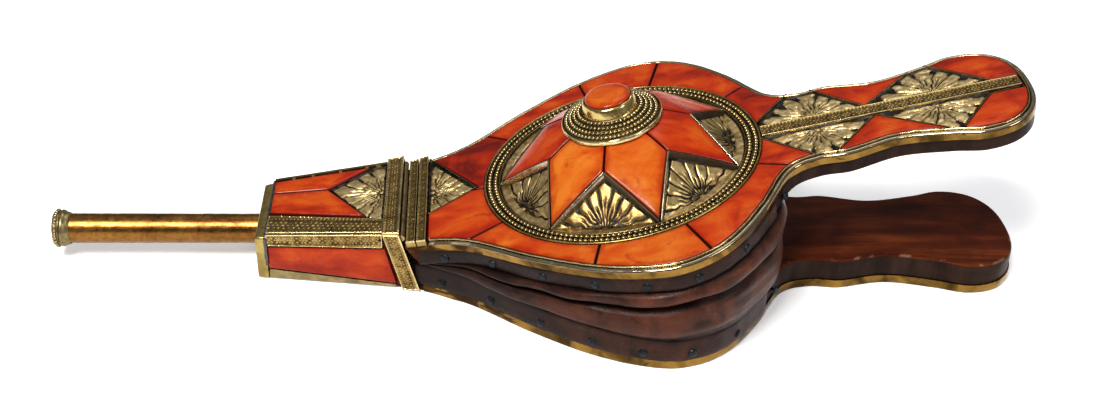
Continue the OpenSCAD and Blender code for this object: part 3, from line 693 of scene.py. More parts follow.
BONE = bone_look("polished_bone")
WOOD = wood_look("wood")
PLAIN_WOOD = wood_look("plain_wood", edged=False)
LEATHER = leather_look("leather")
RIM_BRASS = rim_look("rim_brass")
RELIEF = relief_look("relief_brass", (0.66, 0.51, 0.27), (0.42, 0.30, 0.12))
STAR_RELIEF = relief_look("star_relief_brass", (0.62, 0.47, 0.23), (0.32, 0.215, 0.08))
BRASS = metal_look("brass", (0.44, 0.34, 0.12), (0.17, 0.12, 0.04), (0.22, 0.42), 0.5)
BRIGHT_BRASS = metal_look("bright_brass", (0.72, 0.60, 0.33), (0.40, 0.30, 0.12), (0.14, 0.26), 0.4)
AGED_BRASS = metal_look("aged_brass", (0.34, 0.27, 0.13), (0.08, 0.062, 0.035), (0.26, 0.5), 0.6)
ROPE_BRASS = metal_look("rope_brass", (0.40, 0.31, 0.15), (0.13, 0.10, 0.045), (0.22, 0.4), 0.6)
TUBE_BRASS = metal_look("tube_brass", (0.32, 0.16, 0.042), (0.09, 0.038, 0.013), (0.22, 0.40), 0.6,
                        scratch=(60, 1500, 1500))
EMBOSSED = metal_look("embossed_brass", (0.42, 0.30, 0.11), (0.17, 0.105, 0.036), (0.20, 0.34), 0.6, "relief")
SOLDER_BRASS = metal_look("solder_brass", (0.80, 0.72, 0.50), (0.16, 0.15, 0.13), (0.14, 0.3), 0.7, "relief")
BOSS_BRASS = metal_look("boss_brass", (0.70, 0.55, 0.24), (0.42, 0.30, 0.11), (0.12, 0.26), 0.4, "relief")
DARK_BEADS = metal_look("dark_beads", (0.33, 0.25, 0.12), (0.14, 0.105, 0.05), (0.18, 0.34), 0.5, "relief")
BEAD_BRASS = metal_look("bead_brass", (0.43, 0.34, 0.165), (0.17, 0.13, 0.065), (0.16, 0.32), 0.5, "relief")
SOLDER = metal_look("solder", (0.13, 0.13, 0.14), (0.022, 0.021, 0.021), (0.30, 0.5), 0.8)
IRON = metal_look("iron", (0.040, 0.046, 0.052), (0.014, 0.015, 0.017), (0.35, 0.6), 0.6)


# ---------------------------------------------------------------- chased and embossed ornament
def fan(x, y, root, axis, leaves, cut=0.85):
    """Relief, from 0 to 1, of lobed leaves spread from one root, with dark channels between them.
    Each leaf is (angle from the axis in degrees, length, half width)."""
    shape = np.shape(x)
    seed = int(abs(root[0] * 7 + root[1] * 3 + axis * 5)) + 201
    x, y = (x + 0.75 * waves(x, y, 8, seed) + 0.25 * waves(x, y, 3, seed + 1),
            y + 0.75 * waves(x, y, 8, seed + 2))
    first, second, carved, size = np.full(shape, 9.0), np.full(shape, 9.0), np.zeros(shape), np.ones(shape)
    for turn, length, width in leaves:
        angle = axis + math.radians(turn)
        along = (x - root[0]) * math.cos(angle) + (y - root[1]) * math.sin(angle)
        across = (y - root[1]) * math.cos(angle) - (x - root[0]) * math.sin(angle)
        t = np.clip(along / (1.2 * length), 0.001, 0.999)
        half = 1.6 * width * np.sin(math.pi * t**0.85) ** 0.5
        half = half * (1 + 0.24 * np.cos(TURN * (length / 6.5 * t + 0.2)) * smooth(t * 3)) + 0.02
        share = np.where((along > 0) & (along < 1.2 * length), np.abs(across) / half, 9.0)
        vein = np.exp(-((across / 0.46) ** 2)) * smooth((0.62 - t) * 6) * smooth((t - 0.16) * 9)
        ribs = np.abs((along - np.abs(across) * 0.9) / 5.6 % 1 - 0.5) * 5.6
        cuts = smooth((0.62 - ribs) * 3) * smooth((np.abs(across) / half - 0.5) * 4) * smooth((t - 0.25) * 8)
        nearer = share < first
        second = np.where(nearer, first, np.minimum(second, share))
        carved = np.where(nearer, 1 - np.maximum(vein, cuts), carved)
        size = np.where(nearer, half, size)
        first = np.where(nearer, share, first)
    body = np.clip(1 - first**3, 0, 1) ** 0.45
    channel = np.exp(-(((second - first) * size / cut) ** 2)) * (second < 2)
    eye = np.clip(1 - ((x - root[0]) ** 2 + (y - root[1]) ** 2) / 1.3**2, 0, 1) ** 0.5
    return np.maximum(body * carved * (1 - channel), 0.85 * eye)


def embossed(along, across, half, pitch):
    """Relief of a stamped strip: rosettes in a row between two beaded borders, worn down."""
    size = half * 0.62
    x = (along / pitch + 0.5) % 1 * pitch - pitch / 2
    r, a = np.hypot(x, across), np.arctan2(across, x)
    petals = np.clip(1 - ((r / size - 0.62) / 0.34) ** 2, 0, 1) * (0.5 + 0.5 * np.cos(6 * a))
    eye = np.clip(1 - (r / (0.30 * size)) ** 2, 0, 1) ** 0.5
    gap = np.hypot(np.abs(x) - pitch / 2, np.abs(across) - half * 0.30)
    seeds = np.clip(1 - (gap / (0.26 * size)) ** 2, 0, 1) ** 0.5
    bead_pitch = pitch / 4
    b = (along / bead_pitch) % 1 * bead_pitch - bead_pitch / 2
    border = np.hypot(b, np.abs(across) - (half - 0.16 * half - 0.25))
    edge_beads = np.clip(1 - (border / (0.42 * bead_pitch)) ** 2, 0, 1) ** 0.5
    worn = 0.30 + 0.16 * waves(along, across, 5, 43)
    return np.maximum.reduce([0.9 * petals, eye, 0.75 * seeds, 0.8 * edge_beads, worn])


def strip(polygon, line, half, pitch, low, high, spacing=0.42, drop=(), keep=()):
    """An embossed strip along a line: points, faces, relief."""
    start, end = np.array(line)
    run = (end - start) / np.linalg.norm(end - start)
    rise = 0.55

    def blend(x, y, d):
        x, y = x - start[0], y - start[1]
        # The plain edge gets 1.25, which the material paints pale: a painted highlight along the strip's edges.
        plain = 1 - smooth((d - 0.35) * 3)
        stamped = embossed(x * run[0] + y * run[1], y * run[0] - x * run[1], half, pitch)
        return np.maximum(stamped * (1 - plain), 1.25 * plain)

    def top(x, y, d):
        return high - rise + rise * blend(x, y, d) - rounding(d, 0.3) + 0.08 * waves(x, y, 12, 41)
    points, faces, distance = plate(cut_region([polygon, *keep], drop), spacing, (0.12, 0.35), top, flat(low))
    value = blend(points[:, 0], points[:, 1], distance)
    value[np.isclose(points[:, 2], low)] = 0.3
    return points, faces, value


def add_strips(name, parts, body, node, place=as_is):
    """Embossed strips as one piece."""
    points, faces, relief = joined(parts)
    add_piece(name, (points, faces), EMBOSSED, body, node, place, sharp=70, relief=relief)


def chased(keep, drop, relief, base, low, place, wall_rise=1.2, bent=False):
    """A chased sheet: points, faces, relief and distances from its soldered edge, which climbs by wall_rise."""
    def top(x, y, d):
        return (base(x, y) + 0.9 * relief(x, y) * smooth((d - 0.7) * 2) + wall_rise * (1 - smooth(d / 1.1))
                + 0.12 * waves(x, y, 5, 71))
    points, faces, edge = plate(cut_region(keep, drop), 0.5, (0.3, 0.7, 1.1), top, low, bent)
    value = relief(points[:, 0], points[:, 1]) * smooth((edge - 0.7) * 2)
    return place(points), faces, value, edge


def add_sheets(name, parts, look, body, node, **values):
    """Chased sheets as one piece."""
    points, faces, relief, edge = joined(parts)
    add_piece(name, (points, faces), look, body, node, sharp=75, relief=relief, edge=edge, **values)


def bone_plate(name, loops, top, low, body, node, place, tint, radius=1.0, spacing=2.0):
    points, faces, edge = plate(loops, spacing, edge_rings(radius),
                                lambda x, y, d: top(x, y, d) - rounding(d, radius), low)
    add_piece(name, (points, faces), BONE, body, node, place, sharp=55, edge=edge, tint=tint)


# ---------------------------------------------------------------- boards
def build_boards():
    board = plate(cut_region([outline(0.0, HEM_THICK, lower_in)], [disc(13, 48)]), 3.4, edge_rings(1.8),
                  lambda x, y, d: LOWER_TOP - rounding(d, 1.8) + 0.18 * waves(x, y, 30, 1) * smooth(d / 4),
                  flat(0.0), bent=True)
    tongue = slab(*[np.array([(x, side * nose_y(x, z), z) for side, z in ((-1, 0), (1, 0), (1, 6), (-1, 6))])
                    for x in (-30, 0.5)])
    points, faces, edge = joined([board, (*tongue, np.full(8, 4.0))])
    add_piece("lower_board_wood", (points, faces), WOOD, "lower_half", "lower_board", edge=edge)

    front = 5.5
    board = plate(cut_region([outline(front, 1.0)]), 3.4, edge_rings(1.5),
                  lambda x, y, d: -UNDER_W - rounding(d, 1.5), flat(-WOOD_W))
    half = float(half_width(front)) - 1
    bevel = slab(*[np.array([(0.8, y, -WOOD_W), (front, y, -WOOD_W), (front, y, -UNDER_W)])
                   for y in (-half, half)])
    points, faces, edge = joined([board, (*bevel, np.full(6, 4.0))])
    add_piece("upper_board_wood", (points, faces), WOOD, "upper_half", "top_board",
              lambda p: on_upper(p * (1, 1, -1)), edge=edge)


def toward_front(points, start, length, count):
    """1 at the front of a board, falling to 0 over a length, for profiles of count points."""
    return np.repeat(1 - smooth((points[:, 0] - start) / length), count)


def build_trim():
    """Brass along the edges of both boards."""
    points, normals = whole_rail(RIM_U, 1.4)
    profile = repeated([
        (0.06, -7.15), (-0.02, -6.5), (0.0, -5.4), (0.0, -4.3), (0.10, -3.65), (0.42, -3.15), (0.95, -2.85),
        (1.5, -2.8), (2.0, -2.92), (2.35, -3.2), (2.55, -3.5), (2.6, -3.86), (0.92, -3.86), (0.92, -7.15)], points)
    profile[:, 1:10, 0] += 0.05 * uneven(points, 14, 3)
    profile[:, 3:10, 1] += 0.10 * uneven(points, 9, 4)
    front = points[:, 0] < INLAY_U
    profile[front, :, 1] = np.minimum(profile[front, :, 1], WOOD_W - 0.04)
    profile[front, :, 0] = np.minimum(profile[front, :, 0], 0.92)
    # The points in the groove beside the wire are marked, and the material paints them dark: painted shade.
    groove = np.zeros(profile.shape[:2])
    groove[:, 9:12] = 1
    # The level of each point goes to the material, which paints the rounded top pale: a painted highlight.
    add_piece("upper_rim_band", sweep(points, normals, profile), RIM_BRASS, "upper_half", "top_rim_band",
              on_upper, sharp=60, side=profile[:, :, 1].ravel(), front=toward_front(points, 12, 70, 14),
              groove=groove.ravel())

    points, normals = whole_rail(INLAY_U + 0.2, 1.1)
    profile = repeated([(2.6, -3.9), (2.6, -2.85), (2.66, -2.45), (2.86, -2.2), (3.12, -2.2), (3.32, -2.45),
                        (3.38, -2.85), (3.38, -3.9)], points)
    profile[:, 1:7, 1] += 0.16 * uneven(points, 6, 5)
    profile[:, 1:7, 0] += 0.08 * uneven(points, 9, 6)
    add_piece("upper_fillet_wire", sweep(points, normals, profile), BRIGHT_BRASS, "upper_half", "top_fillet_wire",
              on_upper, sharp=60)

    points, normals = whole_rail(9.33)
    profile = repeated([(1.4, 0.0), (0.72, 0.0), (0.6, 0.25), (0.58, 2.2), (0.6, 4.0), (0.75, 4.35), (1.0, 4.4),
                        (1.4, 4.4)], points)
    profile[:, 1:6, 0] += 0.07 * uneven(points, 11, 7)
    profile[:, 4:7, 1] += 0.14 * uneven(points, 16, 8)
    profile[:, :, 0] += lower_in(points[:, 0])[:, None]
    add_piece("lower_rim_strip_brass", sweep(points, normals, profile), RIM_BRASS, "lower_half", "lower_rim_strip",
              sharp=50, side=-8.0, front=toward_front(points, 20, 60, 8), groove=0.0)


def build_hems():
    """Leather turned over the edges of the boards and tacked there."""
    upper = [(0.95, -7.2), (0.15, -7.2), (-0.2, -7.7), (-0.3, -10.0), (-0.34, -12.0), (-0.3, -13.4),
             (-0.05, -14.6), (0.6, -15.3), (2.0, -15.55), (4.6, -15.5), (4.6, -14.75), (1.0, -14.75)]
    lower = [(1.4, 4.45), (0.15, 4.45), (-0.02, 4.9), (-0.1, 7.4), (-0.08, 10.4), (-0.05, 14.2),
             (0.05, 15.8), (0.5, 16.6), (2.4, 16.95), (5.6, 16.9), (5.6, 16.05), (1.4, 16.05)]
    line, out = rail(HEM_FROM, HEM_TO, 1.5)
    for name, shape, plane, place, narrow in (("upper", upper, UNDER_W, on_upper, lambda u: 0 * u),
                                              ("lower", lower, LOWER_TOP, as_is, lower_in)):
        parts = []
        for points, normals in ((line, out), ((line * MIRROR)[::-1], (out * MIRROR)[::-1])):
            profile = repeated(shape, points)
            profile[:, 2:9, 0] += 0.16 * (uneven(points, 8, 11) + 0.6 * uneven(points, 23, 12))
            profile[:, 1:3, 1] += 0.30 * uneven(points, 7, 13)
            profile[:, :, 0] += narrow(points[:, 0])[:, None]
            thin = 0.25 + 0.75 * smooth((points[:, 0] - 8) / 14)[:, None]
            level = profile[:, :, 1]
            profile[:, :, 1] = np.where(np.abs(level) > abs(plane), plane + (level - plane) * thin, level)
            parts.append(sweep(points, normals, profile))
        add_piece(f"{name}_hem", joined(parts), LEATHER, f"{name}_half", f"leather_{name}_hem", place,
                  sharp=60, fold=0.12)


def gusset_side():
    """The lines where the gusset meets the lower and the upper board, along one side: x, y and z of each."""
    steps, start, bend_u = 138, 4.6, 168
    cheek, corner = np.linspace(0, 1, 8)[:-1], TURN / 4 * np.linspace(0, 1, 11)[1:]
    u, w = 1.6 + 3.9 * cheek, -6.0 + (UNDER_W + 6.0) * cheek
    high = on_upper(np.stack([u, half_width(u) - 2.2, w], 1))
    low = np.stack([0.2 + 4.4 * cheek, half_width(u) - 6.6 + 0.8 * cheek, 0 * u + LOWER_TOP - 0.1], 1)
    u = np.concatenate([np.linspace(start, bend_u, steps), bend_u + (GUSSET_BACK - bend_u) * np.sin(corner)])
    side = half_width(u) - 7 * np.concatenate([np.zeros(steps), 1 - np.cos(corner)])
    low = np.concatenate([low, np.stack([u, side - lower_in(u) - 1.3, 0 * u + LOWER_TOP - 0.1], 1)])
    over = np.stack([u, side - 3.6, HINGE_Z + u * math.tan(OPEN) + UNDER_W / math.cos(OPEN) - 0.45], 1)
    return low, np.concatenate([high, over])


def build_gusset(rows=40, back_points=32, thick=1.3):
    """The folded leather between the boards: two rolls with a crease between them."""
    lines = []
    for side in gusset_side():
        across = np.linspace(1, -1, back_points + 2)[1:-1]
        back = np.column_stack([np.full(back_points, side[-1, 0]), across * side[-1, 1],
                                np.full(back_points, side[-1, 2])])
        lines.append(np.concatenate([side, back, (side * (1, -1, 1))[::-1]]))
    low, high = lines
    mean = (low + high)[:, :2] / 2
    run = np.concatenate([[0], np.cumsum(np.linalg.norm(np.diff(mean, axis=0), axis=1))])

    def wander(size, seed):
        return waves(run, 0 * run, size, seed)
    f = (1 - np.cos(np.linspace(0, math.pi, rows))) / 2 * 0.55 + np.linspace(0, 1, rows) * 0.45
    gap = np.maximum(high[:, 2] - low[:, 2], 0.5)
    still = np.minimum(np.arange(len(gap)), np.arange(len(gap))[::-1])
    loose = smooth((still - 5) / 9)
    crease = 0.68 + 0.035 * wander(46, 21) + 0.012 * wander(13, 22)
    upper_roll = loose * np.minimum(0.36 * gap, 5.0) * (1 + 0.20 * wander(34, 23))
    lower_roll = loose * np.minimum(0.42 * gap, 4.2) * (1 + 0.18 * wander(42, 24))
    s, t, c = run[:, None], f[None, :], crease[:, None]
    in_low = t < c
    part = np.where(in_low, t / c, (t - c) / (1 - c))
    size = np.where(in_low, lower_roll[:, None], upper_roll[:, None])
    arch = np.sin(math.pi * np.clip(part, 0, 1)) ** 0.62
    fine = waves(s * 0.6, t * gap[:, None] * 1.6, 7, 25)
    drag = waves(s * 0.13, t * gap[:, None] + 0.05 * s, 7.5, 27)
    swell = smooth(part * 4) * smooth((1 - part) * 4)
    depth = (loose * np.minimum(gap, 14))[:, None] / 14
    bulge = size * arch - 2.6 * depth * (1 - swell) * smooth(t * 8) * smooth((1 - t) * 8)
    bulge = bulge + depth * swell * (0.10 * fine + 0.50 * drag)
    straight = low[:, None] * (1 - t[..., None]) + high[:, None] * t[..., None]
    lift = -0.10 * size * np.sin(TURN * np.clip(part, 0, 1)) * np.where(in_low, 1, 0.6)
    outward = np.column_stack([normals_of(mean), 0 * run])[:, None]
    outer = straight + outward * bulge[..., None] + lift[..., None] * (0, 0, 1)
    inner = outer - outward * thick
    shape = np.concatenate([outer, inner[:, ::-1]], 1)
    share = np.broadcast_to(t, bulge.shape)
    # fold is 0 on the crests of the rolls and 1 in the creases, at the fixed ends and on the inside: the material
    # paints painted shade where it is high and a painted highlight on the crests.
    fold = 1 - smooth(arch * 1.25) * loose[:, None]
    piece = add_piece("gusset_leather", (shape.reshape(-1, 3), tube_faces(*shape.shape[:2])), LEATHER, None,
                      sharp=80, fold=np.concatenate([fold, np.ones_like(fold)], 1).ravel())
    bend(piece, "leather_gusset", np.concatenate([share, share[:, ::-1]], 1))


def bend(piece, node, share):
    """Hides the CAD node that the piece stands in for, and bakes the piece's place into its mesh. share is not
    used.
    """
    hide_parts(node)
    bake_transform(piece)


def build_hinge_strap(rows=60):
    """A leather strap let into both halves, under the wire."""
    u = np.array([11, 8, 5, 2.4])
    board = [tuple(p[[0, 2]]) for p in on_upper(np.stack([u, 0 * u, 0 * u + WOOD_W - 0.45], 1))]
    line = np.array([(x, nose_z(x) - 0.45) for x in (-11, -8, -5.5, -3.6)]
                    + [(-2.6, 29.6), (-1.3, 28.85), (0.4, 28.3)] + board[::-1])
    share = np.clip((line[:, 0] + 3.0) / 5.0, 0, 1)
    normal = normals_of(line)
    loop = np.concatenate([line + normal * 0.36, (line - normal * 0.36)[::-1]])
    across = np.linspace(-33.2, 33.2, rows)[:, None]
    x, y = np.broadcast_arrays(loop[:, 0], across)
    points = np.stack([x, y, loop[:, 1] + 0.10 * waves(across, loop[:, 0], 9, 31)], 2)
    piece = add_piece("hinge_strap_leather", (points.reshape(-1, 3), tube_faces(rows, len(loop))), LEATHER, None,
                      sharp=60, fold=0.2)
    bend(piece, "hinge_leather", np.tile([*share, *share[::-1]], rows))


def build_valve():
    """The leather flap of the valve inside, and the strap that holds it."""
    flap = [(89.6, -14), (122, -17), (127, -12), (127, 12), (122, 17), (89.6, 14)]
    strap = [(76, -14), (88.4, -14), (88.4, 14), (76, 14)]
    for node, shape, low, body in (("valve_flap", flap, 16.1, "valve"), ("valve_strap", strap, 16.0, "lower_half")):
        made = plate(cut_region([shape]), 1.6, edge_rings(0.7),
                     lambda x, y, d: low + 1.85 - rounding(d, 0.7) + 0.12 * waves(x, y, 8, 33), flat(low))
        add_piece(f"{node}_leather", made, LEATHER, body, node, fold=0.0)


# ---------------------------------------------------------------- nose and nozzle
def on_both_sides(made):
    """What was made for one side of the nose, on the near side and on the far side."""
    points, faces, *values = made
    return [(beside_nose(side)(points), faces if side < 0 else [f[::-1] for f in faces], *values)
            for side in (-1, 1)]


def build_nose():
    for k, (name, shape, tint) in enumerate((
            ("far", [(-66, 12.25), (-38, 12.25), (-17.5, 29.8), (-66, 23)], 0.48),
            ("near", [(-66, -5.2), (-18, -15), (-38, 11.75), (-66, 11.75)], 0.56))):
        bone_plate(f"nose_top_bone_{name}", cut_region([shape]),
                   lambda x, y, d: TOP_INLAY - 0.2 + dome(x, y, d, 0.5, 50 + k), flat(0.0),
                   "lower_half", f"nose_bone_top_{name}", on_nose_top, tint, radius=1.5)
    for name, side, tint in (("near", -1, 0.43), ("far", 1, 0.40)):
        bone_plate(f"nose_side_bone_{name}", cut_region([[(-66, 6.5), (-2.6, 2.6), (-8, 24.4), (-66, 20.4)]]),
                   lambda x, z, d: SIDE_INLAY - 0.1 + dome(x, z, d, 0.5, 53), flat(0.0),
                   "lower_half", f"nose_bone_side_{name}", beside_nose(side), tint, radius=1.2)

    panel = [(-37, 12), (-17.6, -15.6), (-9.3, -18.6), (-9.3, 30.6), (-17, 29.6)]
    leaves = [(-10, 24, 4.0), (15, 20, 3.8), (40, 17, 3.6), (64, 20, 3.4), (85, 23, 2.6), (-35, 19, 3.8),
              (-60, 19, 3.6), (-83, 21, 2.8)]
    made = chased([panel], (), lambda x, y: fan(x, y, (-11, 7), math.pi, leaves), flat(0.9), flat(0.0),
                  on_nose_top, wall_rise=1.3)
    add_sheets("nose_panel_brass", [made], RELIEF, "lower_half", "nose_panel")

    points, *rest = strip([(-65.9, -23.7), (-9.3, -31.3), (-9.3, -19.6), (-65.9, -8.6)],
                          ((-66, -16.2), (-9.3, -25.5)), 6.6, 7.5, 0.0, TOP_INLAY + 0.1)
    sides = on_both_sides(strip([(-65.9, 21), (-9.3, 25), (-9.3, 33.2), (-65.9, 27.5)],
                                ((-66, 24.3), (-9.3, 29.1)), 3.9, 6.2, 0.0, SIDE_INLAY + 0.2))
    add_strips("nose_strips_embossed", [(on_nose_top(points), *rest), *sides], "lower_half", "nose_ridge_strips")

    points, *rest = strip([(-9.1, -34.0), (-1.6, -34.8), (-1.6, 34.8), (-9.1, 34.0)], ((-5.35, -35), (-5.35, 35)),
                          3.75, 5.6, 3.0, 4.5)
    base, faces = slab(*[np.array([(-9.1, -31, h), (-3.5, -31.5, h), (-3.5, 31.5, h), (-9.1, 31, h)])
                         for h in (0, 3.2)])
    sides = on_both_sides(strip([(-0.2, 0.5), (7.8, 0.5), (-1.6, 34.0), (-9.2, 33.4)], ((3.8, 0.5), (-5.4, 33.7)),
                                3.6, 5.6, SIDE_INLAY - 0.3, SIDE_INLAY + 1.1))
    add_strips("nose_collar_embossed", [(on_nose_top(points), *rest), (on_nose_top(base), faces, np.full(8, 0.3)),
                                        *sides], "lower_half", "nose_collar_band")

    corner_z = nose_z(-1.6) + 4.6
    side_line = [(7.9 - 9.3 * k, 0.8 + (corner_z - 1.6 - 0.8) * k) for k in np.linspace(0, 1, 16)]
    near = [(x, -(nose_y(x, z) + 2.7), z) for x, z in side_line]
    over = [(-1.55, y, corner_z - 0.5 * (abs(y) > 35)) for y in (-35.2, *np.linspace(-34.6, 34.6, 40), 35.2)]
    path = np.array(near + over + [(x, -y, z) for x, y, z in near[::-1]])
    add_piece("collar_edge_wire", tube(path, 0.62), BRIGHT_BRASS, "lower_half", sharp=60)

    sole = plate(cut_region([[(-65.8, 0.4), (-3.0, 0.4), (-3.2, 2.1), (-65.8, 6.0)]]), 1.6, (0.2, 0.6),
                 lambda x, z, d: 1.0 - rounding(d, 0.5) + 0.12 * waves(x, z, 10, 57), flat(0.05))
    add_piece("nose_sole_strips", joined(on_both_sides(sole[:2])), AGED_BRASS, "lower_half")


def nose_ring(x, out, corner, count=22):
    """A section of the nose with rounded corners, grown by out, as (y, z) points."""
    top = nose_z(x) + out
    half = [nose_y(x, 0) + out, nose_y(x, top) + out]
    square = np.array([(-half[0], 0), (half[0], 0), (half[1], top), (-half[1], top)])
    ring = []
    for k in range(4):
        here, before, after = square[k], square[k - 1], square[(k + 1) % 4]
        a = here + (before - here) / np.linalg.norm(before - here) * corner
        b = here + (after - here) / np.linalg.norm(after - here) * corner
        for t in np.linspace(0, 1, 6):
            ring.append((1 - t) ** 2 * a + 2 * t * (1 - t) * here + t * t * b)
        c = after + (here - after) / np.linalg.norm(here - after) * corner
        for t in np.linspace(0, 1, count)[1:-1]:
            ring.append(b + (c - b) * t)
    return np.array(ring)


def build_front_plate():
    """A cap beaten over the end of the nose, with a hole for the nozzle, and the solder behind it."""
    outside = [(-66.0, 1.45, 1.8), (-66.4, 1.55, 1.9), (-68.5, 1.5, 1.9), (-70.5, 1.4, 1.9), (-71.0, 1.15, 1.8),
               (-71.2, 0.7, 1.6)]
    inside = [(-70.0, 0.02, 1.2), (-66.0, 0.02, 1.2)]
    face_x, back_x, hole_r = -71.2, -70.02, TUBE_R + 0.02
    base = nose_ring(*outside[-1])
    a = np.arctan2(base[:, 1] - NOZZLE_Z, base[:, 0])
    hole = np.stack([hole_r * np.cos(a), NOZZLE_Z + hole_r * np.sin(a)], 1)
    rows = []
    for x, out, corner in outside:
        ring = nose_ring(x, out, corner)
        ring = ring + 0.10 * waves(ring[:, 0] + x * 2, ring[:, 1], 9, 63)[:, None] * (ring - (0, 14)) / 25
        rows.append(np.column_stack([np.full(len(ring), x), ring]))
    for share in (0.25, 0.5, 0.75, 1.0):
        wide = base * (1 - share) + hole * share
        rows.append(np.column_stack([face_x + 0.12 * waves(*wide.T, 11, 64) * (share < 1), wide]))
    rows.append(np.column_stack([np.full(len(a), back_x), hole]))
    rows += [np.column_stack([np.full(len(a), x), nose_ring(x, out, corner)]) for x, out, corner in inside]
    add_piece("nose_front_cap", (np.concatenate(rows), grid_faces(len(rows), len(a))), BRASS, "lower_half",
              "nose_front_plate", sharp=50)

    ring = nose_ring(-66.2, 2.1, 2.6)
    line = ring[ring[:, 1] > 9.6]
    line = line[np.argsort(np.arctan2(line[:, 1] - 10, line[:, 0]))]
    path = np.column_stack([np.full(len(line), -66.15), line])
    add_piece("nose_solder", tube(path, 0.8, rough=0.25), SOLDER, "lower_half", sharp=60)


def build_nozzle():
    along = np.linspace(TIP_X, TUBE_END, 60)
    outer = TUBE_R + 0.04 * waves(along, 0 * along, 22, 65)
    profile = [*zip(outer, along), *zip(np.full(8, BORE_R), np.linspace(TUBE_END, TIP_X, 8))]
    add_piece("nozzle_tube_brass", lathe(profile, 64, (0, 0), rough=0.05, seed=66), TUBE_BRASS, "lower_half",
              "nozzle_tube", on_nozzle, sharp=50)
    dots = beads(8.9, TIP_X + 1.6, size=0.85, pitch=1.9, centre=(0, 0))
    add_piece("nozzle_tip_beads", dots, BEAD_BRASS, "lower_half", "", on_nozzle, sharp=80,
              slot="aged_brass", relief=dots[2])
    ring = [(7.42, 0.05), (7.9, -0.15), (8.5, 0.05), (8.9, 0.6), (8.95, 1.3), (8.6, 2.1), (8.3, 2.5), (8.3, 2.9),
            (8.7, 3.2), (9.2, 3.7), (9.25, 4.5), (9.0, 5.2), (8.5, 5.8), (8.2, 6.6), (8.0, 7.4), (7.7, 7.95),
            (7.42, 8.0)]
    add_piece("nozzle_tip_ring", lathe([(r, TIP_X + h) for r, h in ring], 72, (0, 0), rough=0.10, seed=67),
              AGED_BRASS, "lower_half", "nozzle_rim", on_nozzle, sharp=50)


# ---------------------------------------------------------------- inlay of the upper board
def around_star(degrees, r):
    """A point of the upper board at a direction and distance from the star's centre."""
    a = math.radians(degrees)
    return STAR_U + r * math.cos(a), r * math.sin(a)


# Where the bone plates meet: degrees round the star, and corners on the board in mm.
SEAMS = {"near": (-180, -151, -103, -69, -23), "far": (180, 144, 101, 73, 35)}
FRONT_CUT = [(11, -14.6), (37.5, 2), (11, 40)]
TAILS = {"near": [(201, -45), (200.5, -29), (178, -5.5)], "far": [(197, 45), (196.5, 31), (178, 9.5)]}
WEDGES = {"handle_bone_near_1": [(210.5, -50), (210.5, -30.5), (234, -4.8), (263, -28), (263, -50)],
          "handle_bone_near_2": [(271, -50), (271, -30), (289.5, -6.5), (330, -5.5), (330, -50)],
          "handle_bone_far_1": [(208.5, 50), (208.5, 30.5), (231, 5.2), (257.5, 28.5), (257.5, 50)],
          "handle_bone_far_2": [(266.5, 50), (266.5, 31.5), (293, 5.5), (330, 5.5), (330, 50)]}
# 0 is a dark plate and 1 a light one.
PLATE_TINTS = (0.42, 0.82, 0.82, 0.52, 0.40, 0.02, 0.42, 0.52, 0.38, 0.12, 0.46, 0.44, 0.32, 0.24)


def build_plates():
    inner = outline(INLAY_U + SEAM, WIRE_IN)
    shapes = {}
    for side, sign in (("near", 1), ("far", -1)):
        seams, gap = SEAMS[side], sign * SEAM
        for k in range(4):
            shapes[f"border_bone_{side}_{k + 1}"] = [(STAR_U, 0), around_star(seams[k] + gap, 180),
                                                     around_star(seams[k + 1] - gap, 180)]
        last = seams[4] + gap
        shapes[f"border_bone_{side}_5"] = [around_star(last, 60), around_star(last, 120), *TAILS[side]]
    shapes.update(WEDGES)
    for k, (node, shape) in enumerate(shapes.items()):
        bone_plate(node.replace("_bone_", "_plate_"), cut_region([inner, shape], [disc(RING_R, 240), FRONT_CUT]),
                   lambda x, y, d: FACE_W - 0.15 + dome(x, y, d, 0.45, 80 + k), flat(WOOD_W),
                   "upper_half", node, on_upper, PLATE_TINTS[k], radius=0.9)


